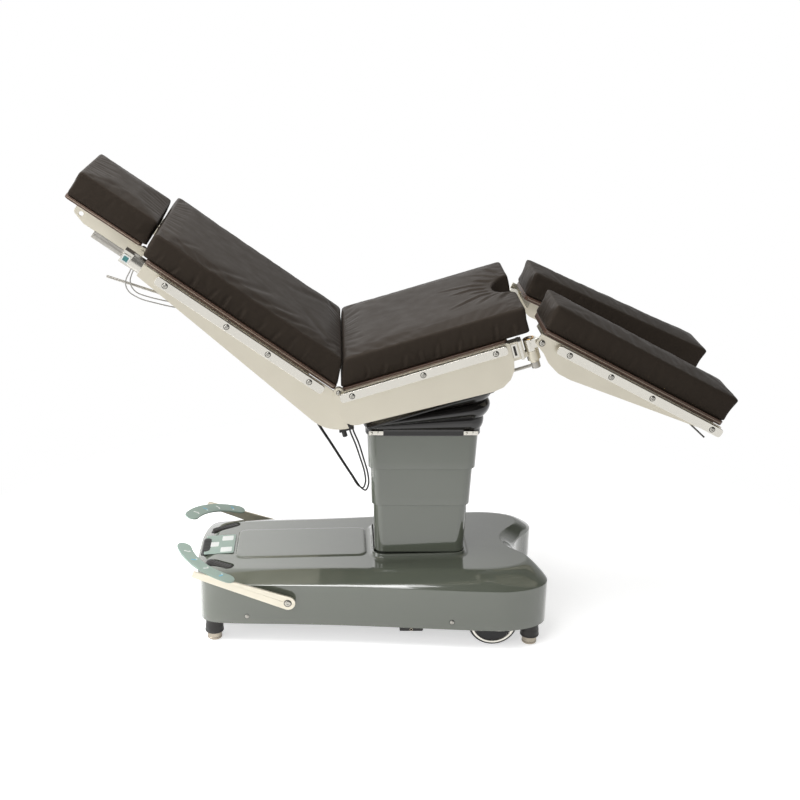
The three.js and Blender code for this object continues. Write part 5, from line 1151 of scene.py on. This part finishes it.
def inset_loop(points, distance):
    """Moves a closed outline inward along its normals."""
    area = sum(a[0] * b[1] - b[0] * a[1] for a, b in zip(points, points[1:] + points[:1]))
    side = 1 if area > 0 else -1
    moved = []
    for k, (x, y) in enumerate(points):
        before, after = Vector(points[k - 1]), Vector(points[(k + 1) % len(points)])
        along = (after - before).normalized()
        moved.append((x - along.y * distance * side, y + along.x * distance * side))
    return moved


def on_deck(points, rise):
    """A ring that follows the deck at a height over it."""
    return [Vector((x, y, deck_z(x) + rise)) for x, y in points]


def column_outline(length, corner=COLUMN_CORNER):
    half, depth = length / 2, (length - .046) / 2
    return rectangle(COLUMN_X - half, COLUMN_X + half, -depth, depth, corner, 12)


def pedal_ring(place, margin):
    x, y, turn = place
    half, width = .046 + margin, .014 + margin
    outline = rectangle(-half, half, -width, width, width * .98, 8)
    spin = Matrix.Rotation(radians(turn), 2)
    return [tuple(spin @ Vector(p) + Vector((x, y))) for p in outline]


class BASE_OT_build(bpy.types.Operator):
    """Models the moulded base cover with its deck, panel, collar, pockets, name plate and screws"""
    bl_idname = "operating_table.base"
    bl_label = "Base cover"

    def execute(self, context):
        outline = base_outline()
        self.cover(outline)

        edge = rectangle(-.415, -.014, -.097, .097, .024, 12)
        rings = [on_deck(edge, -.001)] + [on_deck(drawn_in(edge, inset), rise) for inset, rise in PANEL_EDGE]
        finished(lofted("base_deck_panel", rings), "base", "Gloss enamel", BASE, smooth=60)

        turns = [pi / 2 * k / 7 for k in range(8)]
        rows = [(.034, -.001)] + [(.0105 + .0235 * (1 - sin(turn)), .008 * (1 - cos(turn))) for turn in turns]
        turns = [pi * k / 8 for k in range(1, 9)]
        rows += [(.0055 + .0050 * cos(turn), .008 + .0055 * sin(turn)) for turn in turns]
        rings = [on_deck(column_outline(COLUMN_FOOT + out, COLUMN_CORNER + out / 2), rise) for out, rise in rows]
        rings.append(on_deck(column_outline(COLUMN_FOOT - .006), .006))
        finished(lofted("base_column_collar", rings), "base", "Gloss enamel", BASE, smooth=60)

        screws = []
        for x in (-.372, .2325):
            y = abs(min(outline, key=lambda p: abs(p[0] - x))[1])
            screws += [screw("base_screw", (x, sign * (y - .0002), .090), (0, sign, 0), .0062) for sign in (-1, 1)]
        finished(joined("base_side_screws", screws), "base", None, BASE)
        self.name_plate()
        return {"FINISHED"}

    def cover(self, outline):
        """The moulded shell: its rolled foot, the upright side, the crowned deck and the nose pockets."""
        inner = inset_loop(outline, .005)
        rings = [ring_of(points, z) for points, z in (
            (inner, .134), (inner, .0648), (inset_loop(outline, .0042), .064), (inset_loop(outline, .0012), .064),
            (outline, .0652), (outline, .10), (outline, .15))]
        for inset_share, rise_share in DECK_CROWN:
            ring = drawn_in(outline, inset_share * CROWN_LENGTH, inset_share * CROWN_WIDTH)
            rings.append([Vector((x, y, mix(SHOULDER_Z, deck_z(x), rise_share))) for x, y in ring])
        cover = lofted("base_cover_shell", rings)
        for place in NOSE_PEDALS.values():
            pocket = flat_plate("pocket", pedal_ring(place, .003), .185, .24)
            modify(cover, "BOOLEAN", object=pocket, operation="DIFFERENCE", solver="EXACT")
            bpy.data.objects.remove(pocket)
        bevelled(cover, .0012, 2, 55)
        finished(cover, "base", "Gloss enamel", BASE, smooth=40, stands_for=("base_cover",))

    def name_plate(self):
        """A bare pale plate with a low grid of cells on the nose slope."""
        base = bevelled(flat_plate("plate", rectangle(-.046, .046, -.062, .062, .006, 6), 0, .0014), .0004)
        pieces = [coated(base, "Pedal enamel")]
        for i in range(2):
            for j in range(3):
                x, y = -.0215 + .043 * i, -.038 + .038 * j
                edge = rectangle(x - .0175, x + .0175, y - .0155, y + .0155, .003, 4)
                cell = bevelled(flat_plate("cell", edge, .0012, .0019), .0002)
                pieces.append(coated(cell, "Pedal mark white" if (i + j) % 2 else "Pedal enamel"))
        spot = BASE @ Matrix.Translation((-.466, 0, .2150)) @ Matrix.Rotation(radians(-4), 4, "Y")
        finished(joined("base_name_plate", pieces), "base", None, spot)


def hex_ring(radius, z, sides=24):
    ring = []
    for k in range(sides):
        angle = 2 * pi * k / sides
        reach = radius * cos(pi / 6) / cos((angle % (pi / 3)) - pi / 6)
        ring.append(Vector((reach * cos(angle), reach * sin(angle), z)))
    return ring


def screw(name, spot, axis, radius):
    """A domed socket screw that sits in a ring of painted shadow."""
    dome = ((1, -.0004), (1, .0006), (.93, .0016), (.78, .0024), (.58, .0028))
    rings = [ring_of(circle(radius * r, 24), z) for r, z in dome]
    rings += [hex_ring(radius * .42, .0028), hex_ring(radius * .38, .0008)]
    head = coated(lofted(f"{name}_head", rings), "Screw steel")
    rim = ((1.22, -.0004), (1.22, .0003), (1.1, .0005), (1.0, .0002))
    # Painted shadow: a dark ring round the head, where it meets the surface
    shadow_ring = lofted(f"{name}_ring", [ring_of(circle(radius * r, 24), z) for r, z in rim])
    whole = joined(name, [head, coated(shadow_ring, "Screw shadow")])
    whole.data.transform(standing(spot, axis))
    return whole


# Column
COVER_WALL = .003
# Each cover: its body, its length below and above, and its lower and upper height
COLUMN_COVERS = {
    "column_lower_cover": ("base", COLUMN_FOOT, .282, .2473, .462),
    "column_middle_cover": ("column_middle", .290, .304, .405, .581),
    "column_upper_cover": ("column", .313, .325, .526, .690),
}


class COLUMN_OT_build(bpy.types.Operator):
    """Models the three telescoping covers of the column"""
    bl_idname = "operating_table.column"
    bl_label = "Column covers"

    def execute(self, context):
        for name, (body, low_length, high_length, low_z, high_z) in COLUMN_COVERS.items():
            inside = low_length - 2 * COVER_WALL
            rows = [(high_length - 2 * COVER_WALL, high_z - COVER_WALL, .025), (inside, low_z + .0008, .025),
                    (inside + .0016, low_z, .0258), (low_length - .0016, low_z, .0272),
                    (low_length, low_z + .0009, COLUMN_CORNER)]
            rows += [(mix(low_length, high_length, k / 6), mix(low_z, high_z, k / 6), COLUMN_CORNER)
                     for k in range(1, 6)]
            rows += [(high_length, high_z - .002, COLUMN_CORNER), (high_length - .0012, high_z - .0006, .0274),
                     (high_length - .004, high_z, .026)]
            cover = lofted(f"{name}_shell", [ring_of(column_outline(length, corner), z) for length, z, corner in rows])
            finished(cover, body, "Gloss enamel", BASE, smooth=50, stands_for=(name,))
        dressed("column_ram", "Bright bar")
        dressed("tilt_yoke", "Dark enamel")
        return {"FINISHED"}


# Feet, castors and pedals
FEET = {"nose_right": (-.473, -.184), "nose_left": (-.473, .184),
        "rear_right": (.470, -.210), "rear_left": (.470, .210)}
FOOT_TIP = [(.0190, 0), (.0208, .0006), (.0220, .0022), (.0220, .0068), (.0212, .0074), (.0212, .0086),
            (.0220, .0092), (.0220, .0205), (.0214, .0222), (.017, .0226), (.014, .0300), (.014, .118)]
FOOT_BOOT = [(.0205, .0236), (.0262, .0240), (.0279, .0252), (.0280, .0290), (.0270, .0300), (.0268, .0440),
             (.0262, .0452), (.0262, .0470), (.0256, .0480), (.0252, .0620), (.0235, .0637)]
# The parts of a wheel: a finish, then shares of its radius and of half its width
WHEEL_PARTS = {
    "tyre": ("Tyre rubber", ((.90, -.80), (.92, -.96), (.955, -1), (.99, -.72), (1, -.3), (1, .3), (.99, .72),
                             (.955, 1), (.92, .96), (.90, .80))),
    "rim": ("Bright bar", ((.80, -.78), (.83, -.98), (.90, -1), (.915, -.9), (.915, .9), (.90, 1), (.83, .98),
                           (.80, .78))),
    "disc": ("Dark enamel", ((.15, -.5), (.30, -.5), (.34, -.36), (.66, -.34), (.72, -.5), (.81, -.6), (.81, .6),
                             (.72, .5), (.66, .34), (.34, .36), (.30, .5), (.15, .5))),
    "hub": ("Bright bar", ((.05, -.98), (.14, -.94), (.17, -.86), (.17, .86), (.14, .94), (.05, .98))),
}
PEDAL_PIVOT = (-.250, .146)
PEDAL_ANGLE, PEDAL_PLATE_ANGLE = 19, 15.5


class CHASSIS_OT_build(bpy.types.Operator):
    """Models the levelling feet, the wheels with their rims, the castor carriage and the chassis"""
    bl_idname = "operating_table.chassis"
    bl_label = "Feet, castors and chassis"

    def execute(self, context):
        for name, (x, y) in FEET.items():
            parts = [coated(turned(part, profile, (x, y, 0), sides=48), material) for part, profile, material in (
                ("tip", FOOT_TIP, "Foot steel"), ("boot", FOOT_BOOT, "Boot rubber"))]
            finished(joined(f"foot_{name}", parts), "base", None, BASE, smooth=30,
                     stands_for=(f"levelling_foot_{name}",))
        self.wheel("rear_wheel", .074, .030, (.27751 - TABLE_X, .222, .0775))
        self.wheel("nose_wheel", .046, .024, (-.40249 - TABLE_X, .085, .0495))
        for node_name in ("base_chassis", "castor_carriage"):
            dressed(node_name, "Dark enamel", bevel=.0012)
        for side in SIDES:
            dressed(f"nose_fork_{side}", "Bright bar")
        block = bevelled(add_box("block", (.080, -.2420, .0525), (.148, -.200, .0655)), .0012)
        face = bevelled(add_box("face", (.0865, -.2432, .0534), (.1415, -.2415, .0640)), .0006)
        hole = turned("hole", [(.0046, 0), (.0046, .0008), (.0032, .0008), (.0032, .0002)],
                      (.114, -.2430, .0588), (0, -1, 0), 24)
        parts = [coated(block, "Black plastic"), coated(face, "Boot rubber"), coated(hole, "Foot steel")]
        finished(joined("base_socket_block", parts), "base", None, BASE)
        return {"FINISHED"}

    def wheel(self, name, radius, width, spot):
        """A wheel on each side, made on the left and mirrored."""
        parts = []
        for part, (material, profile) in WHEEL_PARTS.items():
            rings = [ring_of(circle(radius * r, 56), width / 2 * z) for r, z in profile]
            parts.append(coated(lofted(f"{name}_{part}", rings), material))
        wheel = joined(f"{name}_whole", parts)
        wheel.data.transform(Matrix.Translation(spot) @ Matrix.Rotation(radians(90), 4, "X"))
        for side, turn in TURNS.items():
            twin = copied(wheel, f"{name}_{side}_piece", turn)
            finished(twin, f"{name}_{side[0]}", None, BASE, stands_for=(f"{name}_{side}",))
        bpy.data.objects.remove(wheel)


class PEDALS_OT_build(bpy.types.Operator):
    """Models the side pedals with their crescent plates and the nose pedals"""
    bl_idname = "operating_table.pedals"
    bl_label = "Pedals"

    def execute(self, context):
        arm, plate = self.arm(), self.crescent()
        for side, turn in TURNS.items():
            body = f"pedal_{side[0]}"
            finished(copied(arm, f"pedal_arm_{side}", turn), body, None, BASE,
                     stands_for=(f"side_pedal_{side}",))
            finished(copied(plate, f"pedal_plate_{side}", turn), body, None, BASE)
        bpy.data.objects.remove(arm)
        bpy.data.objects.remove(plate)
        for name, place in NOSE_PEDALS.items():
            self.nose_pedal(name, place)
        return {"FINISHED"}

    def arm(self):
        """The flat arm of a side pedal, with its pin and its pivot screw."""
        half, length, tip = .022, .292, .0095
        outline = rounded([(half, -half, half * .97), (half, half, half * .97), (-length, tip, .003),
                           (-length, -tip, .003)], 14)
        arm = coated(bevelled(upright("pedal_arm", outline, .237, .243), .0009), "Satin plate")
        pin = coated(turned("pedal_pin", [(.008, 0), (.008, .028)], (0, .212, 0), (0, 1, 0), 24), "Bright bar")
        parts = [arm, pin, screw("pedal_screw", (0, .243, 0), (0, 1, 0), .0095)]
        pivot = Matrix.Translation((PEDAL_PIVOT[0], 0, PEDAL_PIVOT[1])) @ Matrix.Rotation(radians(PEDAL_ANGLE), 4, "Y")
        for part in parts:
            part.data.transform(pivot)
        return joined("pedal_arm_whole", parts)

    def crescent(self):
        """The crescent plate of a side pedal, with plain ticks and dots."""
        middle, half = .177, .022
        start, end = radians(99), radians(164)
        ring = arc(middle + half, start, end, 30)
        ring += arc(half, end, end + pi, 12, (middle * cos(end), middle * sin(end)))[1:-1]
        ring += arc(middle - half, end, start, 30)
        ring += arc(half, start + pi, start + 2 * pi, 12, (middle * cos(start), middle * sin(start)))[1:-1]
        parts = [coated(bevelled(flat_plate("pedal_plate", ring, 0, .005), .0008), "Pedal enamel")]
        for k, share in enumerate((.10, .36, .62, .86)):
            turn = mix(start, end, share)
            spot = Vector((middle * cos(turn), middle * sin(turn)))
            mark = flat_plate("mark", rectangle(-.0085, .0085, -.0022, .0022, .002, 4), .0049, .0056)
            mark.data.transform(Matrix.Translation((*spot, 0)) @ Matrix.Rotation(turn + radians(25), 4, "Z"))
            dot = turned("dot", [(.0030, .0049), (.0030, .0054), (.0024, .0057)], (*(spot * .945), 0), sides=20)
            parts += [coated(mark, "Pedal mark white" if k % 2 else "Pedal mark blue"),
                      coated(dot, "Pedal mark white")]
        plate = joined("pedal_plate_whole", parts)
        place = Matrix.Translation((-.400, .060, .214)) @ Matrix.Rotation(radians(PEDAL_PLATE_ANGLE), 4, "Y")
        plate.data.transform(place)
        return plate

    def nose_pedal(self, name, place):
        """A ribbed pad on a stem, in its pocket."""
        rings = [ring_of(pedal_ring(place, m), z) for m, z in (
            (-.0010, .1960), (0, .1970), (0, .2110), (-.0012, .2138), (-.0036, .2152), (-.0070, .2160))]
        pad = coated(lofted("pad", rings), "Boot rubber")
        x, y, turn = place
        stem = coated(turned("stem", [(.006, .131), (.006, .1965)], (x, y, 0), sides=20), "Dark enamel")
        parts = [pad, stem]
        for k in range(-3, 4):
            rib = bevelled(add_box("rib", (k * .010 - .0016, -.0085, .2150), (k * .010 + .0016, .0085, .2168)), .0006)
            rib.data.transform(Matrix.Translation((x, y, 0)) @ Matrix.Rotation(radians(turn), 4, "Z"))
            parts.append(coated(rib, "Boot rubber"))
        finished(joined(f"nose_pedal_{name}_piece", parts), f"nose_pedal_{name[0]}",
                 None, BASE, stands_for=(f"nose_pedal_{name}",))


# Sections: frames, boards, rails and their screws. Each rail: its ends, its top and where its screws sit
RAILS = {
    "seat_rail": (0, .469, -.0005, (.072, .5, .93)),
    "back_rail": (-.578, -.041, -.0025, (.914, .663, .415, .054)),
    "leg_rail": (.042, .566, .021, (.07, .32, .57, .94)),
}
RAIL_FACE, RAIL_HALF_HEIGHT = .292, .0125


class SECTIONS_OT_build(bpy.types.Operator):
    """Finishes the section frames, boards and rails, and adds the screws and edge strips"""
    bl_idname = "operating_table.sections"
    bl_label = "Frames, boards and rails"

    def execute(self, context):
        for name in ("seat_frame", "back_frame", "head_frame", "leg_frame_right", "leg_frame_left"):
            dressed(name, "Satin plate", bevel=.0008)
        for name in ("seat_board", "back_board", "head_board", "leg_board_right", "leg_board_left"):
            self.edge_strips(name, dressed(name, "Board", bevel=.0016, segments=3))
        for rail, (start, end, top, shares) in RAILS.items():
            kind = rail.split("_")[0]
            for side, sign in SIDES.items():
                dressed(f"{rail}_{side}", "Bright bar", bevel=.0012, segments=3)
                body = f"leg_{side[0]}" if kind == "leg" else kind
                screws = [screw("rail_screw", (mix(start, end, share), sign * RAIL_FACE, top - RAIL_HALF_HEIGHT),
                                (0, sign, 0), settings().details.screw_radius) for share in shares]
                finished(joined(f"{rail}_screws_{side}", screws), body, None, PLACES[body])
        return {"FINISHED"}

    def edge_strips(self, name, board):
        """The lighter strip that runs along each long edge of a board."""
        spots = coordinates(board, "vector", board.data.attributes["section_place"].data)
        low, high = spots.min(axis=0), spots.max(axis=0)
        middle, half, inset, proud = (low[2] + high[2]) / 2 + .0005, .0011, .007, .0004
        body = frame["nodes"][name]["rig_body"]
        strips = [add_box("strip", (low[0] + inset, y - proud, middle - half),
                          (high[0] - inset, y + proud, middle + half)) for y in (low[1], high[1])]
        finished(joined(f"{name}_strips", strips), body, "Board lip", PLACES[body])


# Fittings, in the frames of their sections
HIP_FACE, KNEE_FACE, PLUG_FACE, SOCKET_FACE = .2732, .2755, .258, .262
BUSH_PROFILE = [(.0090, -.001), (.0090, .0008), (.0098, .0014), (.0132, .0014), (.0140, .0006), (.0140, -.001)]
BUSH_SCREW = [(.0078, -.002), (.0078, .0006), (.0066, .0014), (.003, .0016)]
STOP_ROD = [(.455, -.004), (.500, -.0165), (.5475, -.0290)]


class FITTINGS_OT_build(bpy.types.Operator):
    """Finishes the knee joints, levers, head sockets, grips and brackets"""
    bl_idname = "operating_table.fittings"
    bl_label = "Joints, levers and sockets"

    def execute(self, context):
        for side in SIDES:
            dressed(f"knee_joint_{side}", "Bright bar", bevel=.0010, segments=3)
            dressed(f"knee_lever_{side}", "Lever grey", bevel=.0006)
            dressed(f"head_socket_{side}", "Bright bar", bevel=.0014, segments=3)
            dressed(f"head_grip_{side}", "Lever grey", bevel=.0012, segments=3)
        dressed("back_lever", "Lever grey", bevel=.0004)
        dressed("cable_bracket", "Black plastic", bevel=.0008)
        for side, sign in SIDES.items():
            finished(screw(f"hip_screw_{side}", (0, sign * HIP_FACE, 0), (0, sign, 0), .0056), "seat",
                     None, SEAT)
            finished(screw(f"knee_screw_{side}", (0, sign * KNEE_FACE, 0), (0, sign, 0), .0072), f"knee_{side[0]}",
                     None, LEG[side])
            spot = (.534, sign * .240, -.014)
            bush = coated(turned("bush", BUSH_PROFILE, spot, sides=32, caps=(False, False)), "Brass bush")
            head = coated(turned("head", BUSH_SCREW, spot, sides=24), "Screw steel")
            finished(joined(f"knee_bush_{side}", [bush, head]), "seat", None, SEAT)
            near = sign * PLUG_FACE
            parts = []
            # The slot is a thin box of painted shadow, dark where the slot's hollow lies in shade
            for part, one, other, bevel, material in (
                    ("front", (.4805, near, -.0520), (.4970, near + sign * .0016, -.0120), .0005, "Bright bar"),
                    ("slot", (.4855, near, -.0460), (.4920, near + sign * .0020, -.0180), .0003, "Screw shadow"),
                    ("flange", (.5005, sign * .222, -.0615), (.5085, sign * .2635, -.0075), .0010, "Bright bar")):
                parts.append(coated(bevelled(add_box(part, one, other), bevel), material))
            finished(joined(f"knee_plug_front_{side}", parts), "seat", None, SEAT)
            back, front = sign * (SOCKET_FACE - .0003), sign * SOCKET_FACE
            tiles = []
            for reach, rise, material in ((.0105, .0007, "White label"), (.0070, .0012, "Teal label")):
                tile = add_box("tile", (-.6715 - reach, back, -.0215 - reach),
                               (-.6715 + reach, front + sign * rise, -.0215 + reach))
                tiles.append(bevelled(coated(tile, material), .0003))
            finished(joined(f"socket_label_{side}", tiles), "back", None, BACK)
            rod = tube("stop_rod", [Vector((x, sign * .250, z)) for x, z in STOP_ROD], .0024, 12)
            finished(rod, f"leg_{side[0]}", "Dark enamel", LEG[side])
            rod.name = rod.data.name = f"leg_stop_rod_{side}"
        return {"FINISHED"}


OPERATORS = [STAGE_OT_build, MATERIALS_OT_build, CORDS_OT_build, PADS_OT_build, BELLOWS_OT_build, BASE_OT_build,
             COLUMN_OT_build, CHASSIS_OT_build, PEDALS_OT_build, SECTIONS_OT_build, FITTINGS_OT_build]


class VIEW3D_PT_operating_table(bpy.types.Panel):
    """Lists the sizes, the colours and the pieces"""
    bl_label = "Operating table"
    bl_idname = "VIEW3D_PT_operating_table"
    bl_space_type = "VIEW_3D"
    bl_region_type = "UI"
    bl_category = "Operating table"

    def draw(self, context):
        values = context.scene.operating_table
        for group in (values.pads, values.details, values.finish):
            box = self.layout.box()
            for key in group.__annotations__:
                box.prop(group, key)
        for operator in OPERATORS:
            self.layout.operator(operator.bl_idname)


class TableSettings(bpy.types.PropertyGroup):
    pads: bpy.props.PointerProperty(type=PadSettings, name="Pads", description="Shape of the pads")
    finish: bpy.props.PointerProperty(type=FinishSettings, name="Finishes", description="Colours of the table")
    details: bpy.props.PointerProperty(type=DetailSettings, name="Details", description="Small sizes")


CLASSES = [PadSettings, FinishSettings, DetailSettings, TableSettings, *OPERATORS, VIEW3D_PT_operating_table]


def register():
    for kind in CLASSES:
        bpy.utils.register_class(kind)
    bpy.types.Scene.operating_table = bpy.props.PointerProperty(type=TableSettings)


def unregister():
    del bpy.types.Scene.operating_table
    for kind in reversed(CLASSES):
        bpy.utils.unregister_class(kind)


def main():
    register()
    bpy.ops.operating_table.materials()
    bpy.ops.operating_table.stage()
    bpy.ops.operating_table.cords()
    bpy.ops.operating_table.pads()
    bpy.ops.operating_table.bellows()
    bpy.ops.operating_table.base()
    bpy.ops.operating_table.column()
    bpy.ops.operating_table.chassis()
    bpy.ops.operating_table.pedals()
    bpy.ops.operating_table.sections()
    bpy.ops.operating_table.fittings()


if __name__ == "__main__":
    main()
